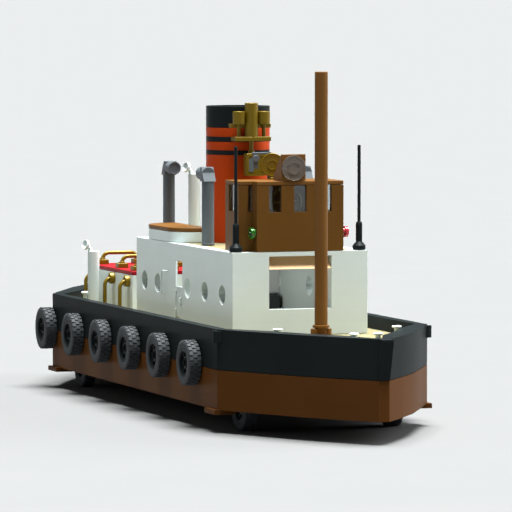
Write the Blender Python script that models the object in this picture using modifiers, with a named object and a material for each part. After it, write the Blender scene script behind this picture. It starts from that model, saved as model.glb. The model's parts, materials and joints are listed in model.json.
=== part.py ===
"""A brick-built plastic toy tugboat on four small rubber tyres.

Metres, +Z up, bow towards +X. The origin is on the floor, in the middle of the hull's length and width.
"""

from math import cos, pi, radians, sin

import bmesh
import bpy
from mathutils import Matrix, Vector

# The building grid that every size is counted in
STUD = 0.008
BRICK = 0.0096
PLATE = 0.0032
GAP = 0.0003  # between pieces that rest on each other

# Tyres, used for the road wheels and for the fenders
TYRE_RADIUS = 0.0164
TYRE_WIDTH = 0.010
TYRE_BORE = 0.0100
HUB_RADIUS = TYRE_BORE - GAP
AXLE_RADIUS = 0.0024

# Levels
KEEL = TYRE_RADIUS  # the wheels' axles lie level with the hull's underside
WATERLINE = KEEL + 3 * BRICK
RIM = KEEL + 6 * BRICK
DECK = KEEL + 5 * BRICK
ROOF = DECK + 6 * BRICK + PLATE
WHEELHOUSE_SILL = ROOF + 3 * BRICK
WHEELHOUSE_TOP = ROOF + 16 * PLATE
FUNNEL_TOP = ROOF + 32 * PLATE
MAST_TOP = DECK + 20 * BRICK

# Hull in plan: the straight sides end at the shoulders, and both ends taper alike
SHOULDER_X = 25.5 * STUD
HALF_BEAM = 10 * STUD
TAPER = (  # forward of the shoulder, half width
    (0.038, 0.0600),
    (0.072, 0.0415),
    (0.101, 0.0215),
    (0.124, 0.0040),
)
SIDE_WALL = STUD
END_WALL = 2 * STUD
STEM_RAKE = STUD  # how far the stem's head stands out past its foot
FOOT_INSET = 0.0010  # of the foot plates, from the wheel wells
FOOT_REACH = 0.0030  # of the foot plates and lugs, past the hull's sides
FOOT_X = (SHOULDER_X - 2.5 * STUD, SHOULDER_X + 0.0025)
LUG_RADIUS = 0.0045
LUG_DROP = 0.0010  # of the lugs' tops, below the rim

# Wheels
AXLE_X = SHOULDER_X - 1.25 * STUD
TRACK = 14 * STUD
WELL_LENGTH = 0.0400
WELL_HALF_WIDTH = 0.0660
WELL_HEIGHT = 0.0200

# Fenders
FENDER_PITCH = 9 * STUD
FENDER_X = [SHOULDER_X - 6 * STUD - i * FENDER_PITCH for i in range(6)]
FENDER_Z = KEEL + 0.0304

# Deckhouse
HOUSE_BOW_X = SHOULDER_X - 6 * STUD
HOUSE_STERN_X = HOUSE_BOW_X - 28.5 * STUD
HOUSE_HALF = 6.5 * STUD
HOUSE_WALL = STUD
PORTHOLE_RADIUS = 0.0073
PORTHOLE_Z = DECK + 3 * BRICK
PORTHOLE_X = [HOUSE_BOW_X - s * STUD for s in (3, 8, 13, 22, 26)]
DOORWAY_X = (HOUSE_BOW_X - 16.5 * STUD, HOUSE_BOW_X - 14.5 * STUD)  # to starboard only
DOORWAY_TOP = DECK + 5 * BRICK
DOOR_Z = (DECK + 2 * PLATE, DECK + 3 * BRICK)  # a half door, low enough to see over
DOOR_LEAF = 0.0035
DOOR_PLAY = 0.0005
FRONT_WINDOW_HALF = 3 * STUD
FRONT_WINDOW_Z = (DECK + 2 * BRICK, DECK + 6 * BRICK)
AFT_DOOR_HALF = 3 * STUD

# Inside the deckhouse
CABINET_BOW_X = SHOULDER_X - 0.217
CABINET_DEPTH = 2 * STUD
CABINET_Y = (2 * STUD, HOUSE_HALF - HOUSE_WALL - GAP)
CABINET_SILL = DECK + 6 * PLATE
ENGINE_SHORT = 0.0028  # how much narrower the engine block is than the cabinet

# Wheelhouse: a bay as far forward as the deckhouse, and a wing behind it on the starboard side
BAY_BOW_X = HOUSE_BOW_X
BAY_DEPTH = 1.25 * STUD
BAY_HALF = 0.0333
WING_HALF = 5.5 * STUD
WHEELHOUSE_DEPTH = 5 * STUD
WHEELHOUSE_WALL = 0.0040
FRONT_LIGHT_WIDTH = 0.0094
FRONT_LIGHT_PITCH = 0.0193
WING_LIGHT_X = (BAY_BOW_X - 4 * STUD, BAY_BOW_X - 0.0190)
WING_FRONT_LIGHT_Y = (0.0336, 0.0366)
NAV_LIGHT_RADIUS = 0.0041
HELM_RADIUS = 0.0122
HELM = (BAY_BOW_X - 3 * STUD, -0.0027, ROOF + 0.0352)
NAV_LIGHT_Z = ROOF + 0.0137
ANTENNA = (HOUSE_BOW_X - 0.0060, 0.0475)

# Lamps on the wheelhouse's roof
LAMP_BOX_Y = (-0.0147, 0.0040)
LAMP_BOX_DEPTH = 0.0180
LAMP_FACE_RADIUS = 0.0092
SEARCH_LAMP = (BAY_BOW_X - 0.0320, -0.0104, WHEELHOUSE_TOP + GAP + 0.0104)
SEARCH_LAMP_RADIUS = 0.0087
SEARCH_LAMP_TURN = radians(18)  # to starboard

# Funnel
FUNNEL_X = SHOULDER_X - 0.188
FUNNEL_RADIUS = 3 * STUD
FUNNEL_WALL = 0.0040
WHISTLE_X = FUNNEL_X + FUNNEL_RADIUS + 0.0070
WHISTLE_SHELF_Z = ROOF + 0.0768
WHISTLE_PITCH = 0.0098

# Lockers on the roof, one on each side of the funnel, with round outer corners
LOCKER_X = (SHOULDER_X - 0.266, SHOULDER_X - 0.178)
LOCKER_Y = (FUNNEL_RADIUS + GAP, HOUSE_HALF)
LOCKER_CORNER = 3 * STUD
LOCKER_HEIGHT = STUD

# Exhausts: forward of or behind the lockers, as x, y, and which way the round end faces
PIPE_RADIUS = 0.0046
EXHAUST_HEIGHT = 0.0482
EXHAUST_HEAD_RADIUS = 0.0050
EXHAUST_HEAD_REACH = 0.0144  # of the round end, from the pole's middle
EXHAUSTS = {
    "fore": (SHOULDER_X - 0.1443, 0.0384, -1),
    "aft": (SHOULDER_X - 0.2710, 0.0275, 1),
}

# Cowl vents, as x, y, the level they stand on and their poles' height
VENTS = {
    "roof": (SHOULDER_X - 0.2710, 0.0070, ROOF, 0.0482),
    "deck": (SHOULDER_X - 0.3850, 0.0530, DECK, 0.0440),
}
COWL_RADIUS = 0.0038
COWL_LENGTH = 0.0030
COWL_OFFSET = (0.0062, 0.0050)  # of the cowl's middle, out and up from the pole's top

# Engine casing on the aft deck
CASING_X = (SHOULDER_X - 53 * STUD, SHOULDER_X - 39 * STUD)
CASING_HALF = 5.5 * STUD
CASING_TOP = DECK + 3 * BRICK
PIPEWORK_X = [SHOULDER_X - x for x in (0.411, 0.360, 0.321)]
TUBE_RADIUS = 0.0015
HOOP_Y = (0.0085, 0.0375)
HOOP_TOP = 0.0090  # of the tube's middle, over the red slab
HOOP_BEND = 0.0055
STEAM_PIPE_Y = 0.0515
STEAM_PIPE_TOP = DECK + 0.0240
VALVE_RADIUS = 0.0044

# Bollards on the deck, as x and half the distance apart
BOLLARDS = ((SHOULDER_X + 0.030, 0.0450), (SHOULDER_X + 0.088, 0.0090), (0.011 - SHOULDER_X, 0.0560))
BOLLARD_RADIUS = 0.0018
BOLLARD_HEAD_RADIUS = 0.0035
BOLLARD_TOP = RIM + 0.0018

MAST_X = SHOULDER_X - 0.004
MAST_RADIUS = 0.0047
MAST_COLLAR = (0.0061, DECK + 0.0085, DECK + 0.0106)  # radius, and the levels of its ends
MAST_FOOT_HALF = 0.0075
MAST_FOOT_TOP = DECK + 0.0036
MAST_KNOB = (0.0036, 0.0042)  # radius, and half the distance apart

ROUND = 32
SMALL_ROUND = 16

parts = bpy.data.collections.new("Tugboat")
helpers = bpy.data.collections.new("Cutters")


def clear_scene():
    for found in list(bpy.data.objects):
        bpy.data.objects.remove(found, do_unlink=True)
    for group in (parts, helpers):
        bpy.context.scene.collection.children.link(group)


def finish(name, colour, roughness, metallic=0.0):
    """A Principled material, with its colour as linear red, green and blue."""
    made = bpy.data.materials.new(name)
    made.use_nodes = True
    shader = made.node_tree.nodes["Principled BSDF"]
    shader.inputs["Base Color"].default_value = (*colour, 1.0)
    shader.inputs["Roughness"].default_value = roughness
    shader.inputs["Metallic"].default_value = metallic
    return made


BLACK = finish("black_plastic", (0.012, 0.014, 0.014), 0.35)
BROWN = finish("dark_brown_plastic", (0.110, 0.050, 0.014), 0.35)
WHITE = finish("white_plastic", (0.850, 0.870, 0.860), 0.35)
TAN = finish("pale_yellow_plastic", (0.860, 0.780, 0.480), 0.40)
ORANGE = finish("orange_plastic", (0.750, 0.130, 0.012), 0.35)
RED = finish("red_plastic", (0.560, 0.020, 0.025), 0.35)
GOLD = finish("gold_plastic", (0.450, 0.280, 0.020), 0.30, 0.6)
GREY = finish("dark_grey_plastic", (0.085, 0.100, 0.110), 0.35)
RUBBER = finish("rubber", (0.016, 0.017, 0.018), 0.70)
LIGHT_GREY = finish("light_grey_plastic", (0.400, 0.420, 0.420), 0.35)
GREEN_LENS = finish("green_lens", (0.020, 0.250, 0.020), 0.10)
RED_LENS = finish("red_lens", (0.450, 0.015, 0.020), 0.10)


def place(name, mesh, material=None):
    """Links a mesh as a sub-part, or as a helper where it has no material."""
    made = bpy.data.objects.new(name, mesh)
    if material is None:
        helpers.objects.link(made)
        made.hide_render = True
        made.display_type = "WIRE"
    else:
        parts.objects.link(made)
        mesh.materials.append(material)
    return made


def box(name, low, high, material=None):
    """A block between two corners, with its own origin at its centre."""
    shape = bmesh.new()
    bmesh.ops.create_cube(shape, size=1.0)
    size = [b - a for a, b in zip(low, high)]
    bmesh.ops.scale(shape, vec=size, verts=shape.verts)
    mesh = bpy.data.meshes.new(name)
    shape.to_mesh(mesh)
    shape.free()
    made = place(name, mesh, material)
    made.location = [(a + b) / 2 for a, b in zip(low, high)]
    return made


def rod(name, radius, start, end, material=None, top_radius=None, segments=SMALL_ROUND):
    """A cylinder, or a cone where top_radius is given, between two points."""
    start, end = Vector(start), Vector(end)
    along = end - start
    shape = bmesh.new()
    bmesh.ops.create_cone(
        shape,
        cap_ends=True,
        segments=segments,
        radius1=radius,
        radius2=radius if top_radius is None else top_radius,
        depth=along.length,
    )
    mesh = bpy.data.meshes.new(name)
    shape.to_mesh(mesh)
    shape.free()
    mesh.shade_smooth()
    mesh.set_sharp_from_angle(angle=pi / 6)
    made = place(name, mesh, material)
    made.location = (start + end) / 2
    made.rotation_euler = along.to_track_quat("Z", "Y").to_euler()
    return made


def slab(name, outline, bottom, top, material=None):
    """A flat outline in plan, given as (x, y) points, raised between two levels."""
    curve = bpy.data.curves.new(name, "CURVE")
    curve.dimensions = "2D"
    curve.fill_mode = "BOTH"
    curve.extrude = (top - bottom) / 2
    line = curve.splines.new("POLY")
    line.points.add(len(outline) - 1)
    for point, (x, y) in zip(line.points, outline):
        point.co = (x, y, 0.0, 1.0)
    line.use_cyclic_u = True
    made = place(name, mesh_of(curve), material)
    made.location.z = (bottom + top) / 2
    return made


def tube(name, radius, path, material=None):
    """A round tube along a path of points, with its ends filled."""
    curve = bpy.data.curves.new(name, "CURVE")
    curve.dimensions = "3D"
    curve.bevel_depth = radius
    curve.bevel_resolution = 2
    curve.use_fill_caps = True
    line = curve.splines.new("POLY")
    line.points.add(len(path) - 1)
    for point, place_at in zip(line.points, path):
        point.co = (*place_at, 1.0)
    return place(name, mesh_of(curve), material)


def mesh_of(curve):
    """The closed mesh that a curve makes, with its seams welded."""
    holder = bpy.data.objects.new(curve.name, curve)
    bpy.context.scene.collection.objects.link(holder)
    bpy.context.view_layer.update()
    graph = bpy.context.evaluated_depsgraph_get()
    mesh = bpy.data.meshes.new_from_object(holder.evaluated_get(graph))
    bpy.data.objects.remove(holder, do_unlink=True)
    shape = bmesh.new()
    shape.from_mesh(mesh)
    bmesh.ops.remove_doubles(shape, verts=shape.verts, dist=1e-6)
    bmesh.ops.recalc_face_normals(shape, faces=shape.faces)
    shape.to_mesh(mesh)
    shape.free()
    mesh.name = curve.name
    bpy.data.curves.remove(curve)
    return mesh


def arc(middle, radius, start, end, steps=4):
    """Points of an arc in a plane, from one angle to another."""
    angles = [start + (end - start) * i / steps for i in range(steps + 1)]
    return [(middle[0] + radius * cos(a), middle[1] + radius * sin(a)) for a in angles]


def turned(name, profile, material, steps=ROUND):
    """A ring turned about Z from a closed (radius, height) profile that runs down its outer side."""
    mesh = bpy.data.meshes.new(name)
    shape = bmesh.new()
    points = [shape.verts.new((r, 0.0, z)) for r, z in profile]
    for a, b in zip(points, points[1:] + points[:1]):
        shape.edges.new((a, b))
    shape.to_mesh(mesh)
    shape.free()
    made = place(name, mesh, material)
    turn = made.modifiers.new("Turn", "SCREW")
    turn.axis = "Z"
    turn.steps = steps
    turn.render_steps = steps
    turn.use_merge_vertices = True
    turn.merge_threshold = 1e-6
    turn.use_smooth_shade = True
    return made


def boolean(target, other, operation):
    change = target.modifiers.new(f"{operation.title()} {other.name}", "BOOLEAN")
    change.operation = operation
    change.solver = "EXACT"
    change.object = other


def cut(target, *cutters):
    for cutter in cutters:
        boolean(target, cutter, "DIFFERENCE")


def join(target, *others):
    for other in others:
        boolean(target, other, "UNION")


def hull_outline(inset=0.0, end_inset=None):
    """The hull in plan, counter-clockwise, with its walls' thickness taken off where given."""
    end_inset = inset if end_inset is None else end_inset
    quarter = [(SHOULDER_X - (end_inset - inset) / 2, HALF_BEAM - inset)]
    for ahead, half in TAPER:
        # An end wall's thickness is taken across the taper, which lies at about 30 degrees
        quarter.append((SHOULDER_X + ahead - end_inset * 0.70, max(half - end_inset * 0.62, 0.0040)))
    quarter = [p for i, p in enumerate(quarter) if i == 0 or quarter[i - 1][1] - p[1] > 0.001]
    starboard_bow = [(x, -y) for x, y in quarter]
    port_bow = [(x, y) for x, y in reversed(quarter)]
    port_stern = [(-x, y) for x, y in quarter]
    starboard_stern = [(-x, -y) for x, y in reversed(quarter)]
    return starboard_bow + port_bow + port_stern + starboard_stern


def make_hull():
    lower = slab("hull_lower", hull_outline(), KEEL, WATERLINE - GAP, BROWN)
    upper = slab("hull_upper", hull_outline(), WATERLINE, RIM, BLACK)
    cut(upper, slab("deck_well", hull_outline(SIDE_WALL, END_WALL), DECK - PLATE - GAP, RIM + STUD))
    make_deck()
    stem_x = SHOULDER_X + TAPER[-1][0]
    for end, sign in (("bow", 1), ("stern", -1)):
        make_stem(end, sign, sign * (stem_x + GAP))
        for side in (-1, 1):
            # Foot plates at the four shoulders, and hinge lugs at those of the bow
            xs = sorted(sign * x for x in FOOT_X)
            ys = sorted((side * (WELL_HALF_WIDTH + FOOT_INSET), side * (HALF_BEAM + FOOT_REACH)))
            foot = box(f"foot_{end}_{side}", (xs[0], ys[0], KEEL - PLATE), (xs[1], ys[1], KEEL + GAP))
            join(lower, foot)
            if end == "stern":
                continue
            lug_y = side * (HALF_BEAM + FOOT_REACH - LUG_RADIUS)
            lug = rod(
                f"lug_{end}_{side}",
                LUG_RADIUS,
                (SHOULDER_X, lug_y, RIM - BRICK),
                (SHOULDER_X, lug_y, RIM - LUG_DROP),
            )
            join(upper, lug)
        well_box = box(
            f"wheel_well_{end}",
            (sign * AXLE_X - WELL_LENGTH / 2, -WELL_HALF_WIDTH, KEEL - STUD),
            (sign * AXLE_X + WELL_LENGTH / 2, WELL_HALF_WIDTH, KEEL + WELL_HEIGHT),
        )
        cut(lower, well_box)


def make_deck():
    """The deck inside the bulwark, with a T-shaped bollard at each place of the table."""
    outline = hull_outline(SIDE_WALL + GAP, END_WALL + 2 * GAP)
    deck = slab("deck", outline, DECK - PLATE, DECK, TAN)
    for i, (x, y) in enumerate(BOLLARDS):
        for side in (-1, 1):
            at = (x, side * y)
            join(
                deck,
                rod(f"bollard_{i}_{side}", BOLLARD_RADIUS, (*at, DECK - PLATE / 2), (*at, RIM + 0.0012)),
                rod(f"bollard_head_{i}_{side}", BOLLARD_HEAD_RADIUS, (*at, RIM + GAP), (*at, BOLLARD_TOP)),
            )


def make_stem(end, sign, x):
    """The raked stem: as wide as one stud, three bricks high, wider at its head."""
    foot, head = 0.0008, STEM_RAKE
    outline = [(0.0, WATERLINE), (foot, WATERLINE), (head, RIM - BRICK / 3), (head, RIM), (0.0, RIM)]
    stem = slab(f"stem_{end}", [(a, b) for a, b in outline], -STUD / 2, STUD / 2, BLACK)
    stem.matrix_world = Matrix.Translation((x, 0.0, 0.0)) @ Matrix.Rotation(
        0.0 if sign > 0 else pi, 4, "Z"
    ) @ Matrix.Rotation(pi / 2, 4, "X")


TYRE_PROFILE = (  # radius, height along the axle
    (TYRE_BORE, 0.5 * TYRE_WIDTH * 0.8),
    (TYRE_RADIUS * 0.90, 0.5 * TYRE_WIDTH),
    (TYRE_RADIUS, 0.5 * TYRE_WIDTH * 0.65),
    (TYRE_RADIUS, -0.5 * TYRE_WIDTH * 0.65),
    (TYRE_RADIUS * 0.90, -0.5 * TYRE_WIDTH),
    (TYRE_BORE, -0.5 * TYRE_WIDTH * 0.8),
)


def make_fenders():
    for side, y_sign in (("starboard", -1), ("port", 1)):
        y = y_sign * (HALF_BEAM + GAP + TYRE_WIDTH / 2)
        for i, x in enumerate(FENDER_X, 1):
            # Tyre and hub are one piece here, with the hub dished on its outer face
            tyre = turned(
                f"fender_{side}_{i}",
                [(0.0030, -0.0036), (0.0030, 0.0012), (0.0085, 0.0012)] + list(TYRE_PROFILE),
                RUBBER,
                24,
            )
            tyre.location = (x, y, FENDER_Z)
            tyre.rotation_euler = (y_sign * -pi / 2, 0.0, 0.0)


def make_running_gear():
    for end, sign in (("bow", 1), ("stern", -1)):
        x = sign * AXLE_X
        axle = rod(
            f"axle_{end}",
            AXLE_RADIUS,
            (x, -TRACK / 2 - 0.004, KEEL),
            (x, TRACK / 2 + 0.004, KEEL),
            BROWN,
        )
        for side, y_sign in (("starboard", -1), ("port", 1)):
            y = y_sign * TRACK / 2
            hub = rod(
                f"hub_{end}_{side}", HUB_RADIUS, (x, y - 0.0036, KEEL), (x, y + 0.0036, KEEL), segments=24
            )
            join(axle, hub)
            tyre = turned(f"tyre_{end}_{side}", TYRE_PROFILE, RUBBER, 24)
            tyre.location = (x, y, KEEL)
            tyre.rotation_euler = (pi / 2, 0.0, 0.0)
        mount = box(
            f"axle_mount_{end}",
            (x - WELL_LENGTH / 2 + GAP, -5.5 * STUD, KEEL - PLATE),
            (x + WELL_LENGTH / 2 - GAP, 5.5 * STUD, KEEL + WELL_HEIGHT - GAP),
            BROWN,
        )
        bore = rod(
            f"axle_bore_{end}",
            AXLE_RADIUS + GAP,
            (x, -6 * STUD, KEEL),
            (x, 6 * STUD, KEEL),
        )
        relief = box(
            f"mount_relief_{end}",
            (x - 0.0100, -4 * STUD, KEEL - STUD),
            (x + 0.0100, 4 * STUD, KEEL + 0.0100),
        )
        cut(mount, bore, relief)


def make_house():
    walls = box(
        "house_walls",
        (HOUSE_STERN_X, -HOUSE_HALF, DECK + GAP),
        (HOUSE_BOW_X, HOUSE_HALF, ROOF),
        WHITE,
    )
    inside = box(
        "house_inside",
        (HOUSE_STERN_X + HOUSE_WALL, -HOUSE_HALF + HOUSE_WALL, DECK - STUD),
        (HOUSE_BOW_X - HOUSE_WALL, HOUSE_HALF - HOUSE_WALL, ROOF + STUD),
    )
    front = box(
        "front_window_hole",
        (HOUSE_BOW_X - 2 * STUD, -FRONT_WINDOW_HALF, FRONT_WINDOW_Z[0]),
        (HOUSE_BOW_X + STUD, FRONT_WINDOW_HALF, FRONT_WINDOW_Z[1]),
    )
    aft = box(
        "aft_doorway",
        (HOUSE_STERN_X - STUD, -AFT_DOOR_HALF, DECK - STUD),
        (HOUSE_STERN_X + 2 * STUD, AFT_DOOR_HALF, DECK + 5 * BRICK),
    )
    doorway = box(
        "side_doorway",
        (DOORWAY_X[0], -HOUSE_HALF - STUD, DECK - STUD),
        (DOORWAY_X[1], 0.0, DOORWAY_TOP),
    )
    cut(walls, inside, front, aft, doorway)
    for i, x in enumerate(PORTHOLE_X, 1):
        hole = rod(
            f"porthole_{i}",
            PORTHOLE_RADIUS,
            (x, -HOUSE_HALF - STUD, PORTHOLE_Z),
            (x, HOUSE_HALF + STUD, PORTHOLE_Z),
            segments=20,
        )
        cut(walls, hole)
    box(
        "house_roof",
        (HOUSE_STERN_X + HOUSE_WALL + GAP, -HOUSE_HALF + HOUSE_WALL + GAP, ROOF - PLATE),
        (HOUSE_BOW_X - HOUSE_WALL - GAP, HOUSE_HALF - HOUSE_WALL - GAP, ROOF),
        TAN,
    )
    # A sloping brow across the top of the front window
    brow = [(0.0, 0.0), (STUD, BRICK - 2 * GAP), (2 * STUD, BRICK - 2 * GAP), (2 * STUD, 0.0)]
    half = FRONT_WINDOW_HALF - GAP
    lintel = slab("window_brow", brow, -half, half, BROWN)
    lintel.matrix_world = Matrix.Translation(
        (HOUSE_BOW_X, 0.0, FRONT_WINDOW_Z[1] - BRICK + GAP)
    ) @ Matrix.Rotation(pi, 4, "Z") @ Matrix.Rotation(pi / 2, 4, "X")
    make_cabinet()
    make_door()


def make_cabinet():
    """A grey cabinet on a black engine block that reaches one stud further forward, to port."""
    aft = CABINET_BOW_X - CABINET_DEPTH
    box(
        "engine_block",
        (aft, CABINET_Y[0], DECK + GAP),
        (CABINET_BOW_X + STUD, CABINET_Y[1] - ENGINE_SHORT, CABINET_SILL),
        BLACK,
    )
    box(
        "cabinet",
        (aft, CABINET_Y[0], CABINET_SILL + GAP),
        (CABINET_BOW_X, CABINET_Y[1], ROOF - PLATE - GAP),
        LIGHT_GREY,
    )


def make_door():
    """A half door that swings out to starboard, hinged on its aft edge at the wall's outer face."""
    x = DOORWAY_X[0] + DOOR_PLAY
    hinge = Vector((x, -HOUSE_HALF, (DOOR_Z[0] + DOOR_Z[1]) / 2))
    leaf = box(
        "door_starboard",
        (x, -HOUSE_HALF, DOOR_Z[0]),
        (DOORWAY_X[1] - DOOR_PLAY, -HOUSE_HALF + DOOR_LEAF, DOOR_Z[1]),
        WHITE,
    )
    leaf.data.transform(Matrix.Translation(leaf.location - hinge))
    leaf.location = hinge


def wheelhouse_outline(inset=0.0):
    """The wheelhouse in plan, with its walls' thickness taken off where given."""
    aft = BAY_BOW_X - WHEELHOUSE_DEPTH + inset
    step = BAY_BOW_X - BAY_DEPTH - inset
    bay, wing = BAY_HALF - inset, WING_HALF - inset
    front = BAY_BOW_X - inset
    return [(aft, -wing), (step, -wing), (step, -bay), (front, -bay), (front, bay), (aft, bay)]


def make_wheelhouse():
    walls = slab("wheelhouse_walls", wheelhouse_outline(), ROOF + GAP, WHEELHOUSE_TOP - PLATE, BROWN)
    cut(walls, slab("wheelhouse_inside", wheelhouse_outline(WHEELHOUSE_WALL), ROOF - STUD, WHEELHOUSE_TOP))
    lights = [
        ((BAY_BOW_X - STUD / 2 - GAP, y - FRONT_LIGHT_WIDTH / 2), (BAY_BOW_X + STUD, y + FRONT_LIGHT_WIDTH / 2))
        for y in (-FRONT_LIGHT_PITCH, 0.0, FRONT_LIGHT_PITCH)
    ]
    lights.append(((WING_LIGHT_X[0], -WING_HALF - STUD), (WING_LIGHT_X[1], WING_HALF + STUD)))
    step = BAY_BOW_X - BAY_DEPTH
    near, far = WING_FRONT_LIGHT_Y
    lights.append(((step - WHEELHOUSE_WALL - GAP, -far), (step + GAP, -near)))
    for i, (low, high) in enumerate(lights, 1):
        cut(walls, box(f"wheelhouse_light_{i}", (*low, WHEELHOUSE_SILL), (*high, WHEELHOUSE_TOP)))
    slab("wheelhouse_roof", wheelhouse_outline(), WHEELHOUSE_TOP - PLATE + GAP, WHEELHOUSE_TOP, BROWN)
    nav_x = BAY_BOW_X - NAV_LIGHT_RADIUS + GAP
    for side, y_sign, lens in (("starboard", -1, GREEN_LENS), ("port", 1, RED_LENS)):
        foot = y_sign * (BAY_HALF + GAP)
        head = foot + y_sign * STUD / 2
        rod(f"nav_light_{side}", NAV_LIGHT_RADIUS, (nav_x, foot, NAV_LIGHT_Z), (nav_x, head, NAV_LIGHT_Z), lens)
        make_antenna(side, (ANTENNA[0], y_sign * ANTENNA[1]))
    make_helm()


def make_helm():
    """The steering wheel, on a column that stands on the deckhouse's roof."""
    x, y, z = HELM
    tyre = 0.0010
    wheel = turned(
        "helm",
        [
            (HELM_RADIUS - 2 * tyre, tyre),
            (HELM_RADIUS, tyre),
            (HELM_RADIUS, -tyre),
            (HELM_RADIUS - 2 * tyre, -tyre),
        ],
        GOLD,
        24,
    )
    wheel.location = HELM
    wheel.rotation_euler = (0.0, pi / 2, 0.0)
    reach = HELM_RADIUS - tyre
    for i in range(3):
        out = Vector((0.0, cos(i * pi / 3), sin(i * pi / 3))) * reach
        join(wheel, rod(f"spoke_{i}", 0.0008, Vector(HELM) - out, Vector(HELM) + out, segments=8))
    join(
        wheel,
        rod("helm_hub", 0.0030, (x - 0.0050, y, z), (x + 0.0020, y, z)),
        rod("helm_column", 0.0024, (x - 0.0036, y, ROOF + GAP), (x - 0.0036, y, z)),
    )


def make_antenna(side, foot):
    """A whip antenna eight bricks high."""
    steps = (  # radius, level and radius at the top, level of the top, up from the deckhouse's roof
        (0.0048, 0.0003, 0.0048, 0.0035),
        (0.0048, 0.0034, 0.0024, 0.0061),
        (0.0024, 0.0060, 0.0024, 0.0206),
        (0.0012, 0.0205, 0.0012, 8 * BRICK),
    )
    whip = None
    for i, (radius, level, end_radius, top) in enumerate(steps):
        piece = rod(
            f"antenna_{side}" if whip is None else f"antenna_{side}_{i}",
            radius,
            (*foot, ROOF + level),
            (*foot, ROOF + top),
            BLACK if whip is None else None,
            top_radius=end_radius,
            segments=12,
        )
        if whip is None:
            whip = piece
        else:
            join(whip, piece)


def make_lamps():
    """A wedge-shaped box lamp at the wheelhouse roof's front edge, and a round search lamp behind it."""
    face, foot = BAY_BOW_X, WHEELHOUSE_TOP + GAP
    top, depth = foot + 2 * BRICK, LAMP_BOX_DEPTH
    wedge = [(0.0, foot), (0.0, top), (0.0015, top), (depth, foot + PLATE / 2), (depth, foot)]
    near, far = LAMP_BOX_Y
    housing = slab("lamp_box", wedge, near, far, BROWN)
    middle = ((near + far) / 2, foot + LAMP_FACE_RADIUS)
    housing.matrix_world = Matrix.Translation(
        (face, middle[0], 0.0)
    ) @ Matrix.Rotation(pi, 4, "Z") @ Matrix.Rotation(pi / 2, 4, "X")
    join(
        housing,
        rod("lamp_face", LAMP_FACE_RADIUS, (face - 0.0010, *middle), (face + 0.0010, *middle), segments=24),
    )
    facing = Vector((cos(SEARCH_LAMP_TURN), -sin(SEARCH_LAMP_TURN), 0.0))
    front = Vector(SEARCH_LAMP)
    lamp = rod("search_lamp", SEARCH_LAMP_RADIUS, front - 0.0012 * facing, front, GOLD, segments=24)
    join(
        lamp,
        rod("search_lamp_bowl", 0.0035, front - 0.0042 * facing, front - 0.0010 * facing, top_radius=0.0080),
    )
    stand = front - 0.0030 * facing
    join(lamp, rod("search_lamp_stand", 0.0020, (stand.x, stand.y, foot), (stand.x, stand.y, front.z)))


def make_funnel():
    funnel = turned(
        "funnel",
        [
            (FUNNEL_RADIUS - FUNNEL_WALL, FUNNEL_TOP),
            (FUNNEL_RADIUS, FUNNEL_TOP),
            (FUNNEL_RADIUS, ROOF + GAP),
            (FUNNEL_RADIUS - FUNNEL_WALL, ROOF + GAP),
        ],
        ORANGE,
        40,
    )
    funnel.location = (FUNNEL_X, 0.0, 0.0)
    make_whistle(FUNNEL_X + FUNNEL_RADIUS)


def make_whistle(funnel_front):
    """Three whistles on a shelf in front of the funnel, over a housing."""
    x, shelf = WHISTLE_X, WHISTLE_SHELF_Z
    foot = shelf - 0.0258
    back = funnel_front + GAP
    whistle = box("whistle", (x - 0.0008, -0.0060, foot), (x + 0.0070, 0.0090, foot + 0.0166), GOLD)
    join(
        whistle,
        box("whistle_neck", (back, -STUD / 2, foot + 0.0010), (x, STUD / 2, foot + 0.0150)),
        rod("whistle_pipe", TUBE_RADIUS, (x, 0.0, foot + 0.0156), (x, 0.0, shelf + 0.0010)),
        box("whistle_shelf", (back, -0.0140, shelf), (x + 0.0050, 0.0140, shelf + PLATE)),
        rod("whistle_tall", 0.0050, (x, 0.0, shelf + 0.0020), (x, 0.0, shelf + 0.0284)),
        box("whistle_bracket", (back, -0.0157, shelf + 0.0098), (x - 0.0005, 0.0157, shelf + 0.0128)),
    )
    for side in (-1, 1):
        y = side * WHISTLE_PITCH
        join(
            whistle,
            rod(f"whistle_stem_{side}", TUBE_RADIUS, (x, y, shelf + 0.0020), (x, y, shelf + 0.0136)),
            rod(f"whistle_side_{side}", 0.0046, (x, y, shelf + 0.0125), (x, y, shelf + 0.0221)),
        )


def make_exhausts():
    """Poles whose heads lie level: round and closed at one end, and sloped over the pole."""
    for where, (x, half_apart, facing) in EXHAUSTS.items():
        for side, y_sign in (("starboard", -1), ("port", 1)):
            y, top = y_sign * half_apart, ROOF + EXHAUST_HEIGHT
            name = f"exhaust_{where}_{side}"
            pipe = rod(name, PIPE_RADIUS, (x, y, ROOF + GAP), (x, y, top), GREY)
            radius = EXHAUST_HEAD_RADIUS
            start, end = x - facing * 0.0010, x + facing * EXHAUST_HEAD_REACH
            slope = [(-0.0048, -0.0005), (0.0046, -0.0005), (0.0046, 2 * radius), (0.0008, 2 * radius)]
            slope = [(facing * a, b) for a, b in slope]
            block = slab(f"{name}_slope", slope, -radius + GAP, radius - GAP)
            block.matrix_world = Matrix.Translation((x, y, top)) @ Matrix.Rotation(pi / 2, 4, "X")
            join(
                pipe,
                rod(f"{name}_head", radius, (start, y, top + radius), (end, y, top + radius)),
                block,
            )


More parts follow.
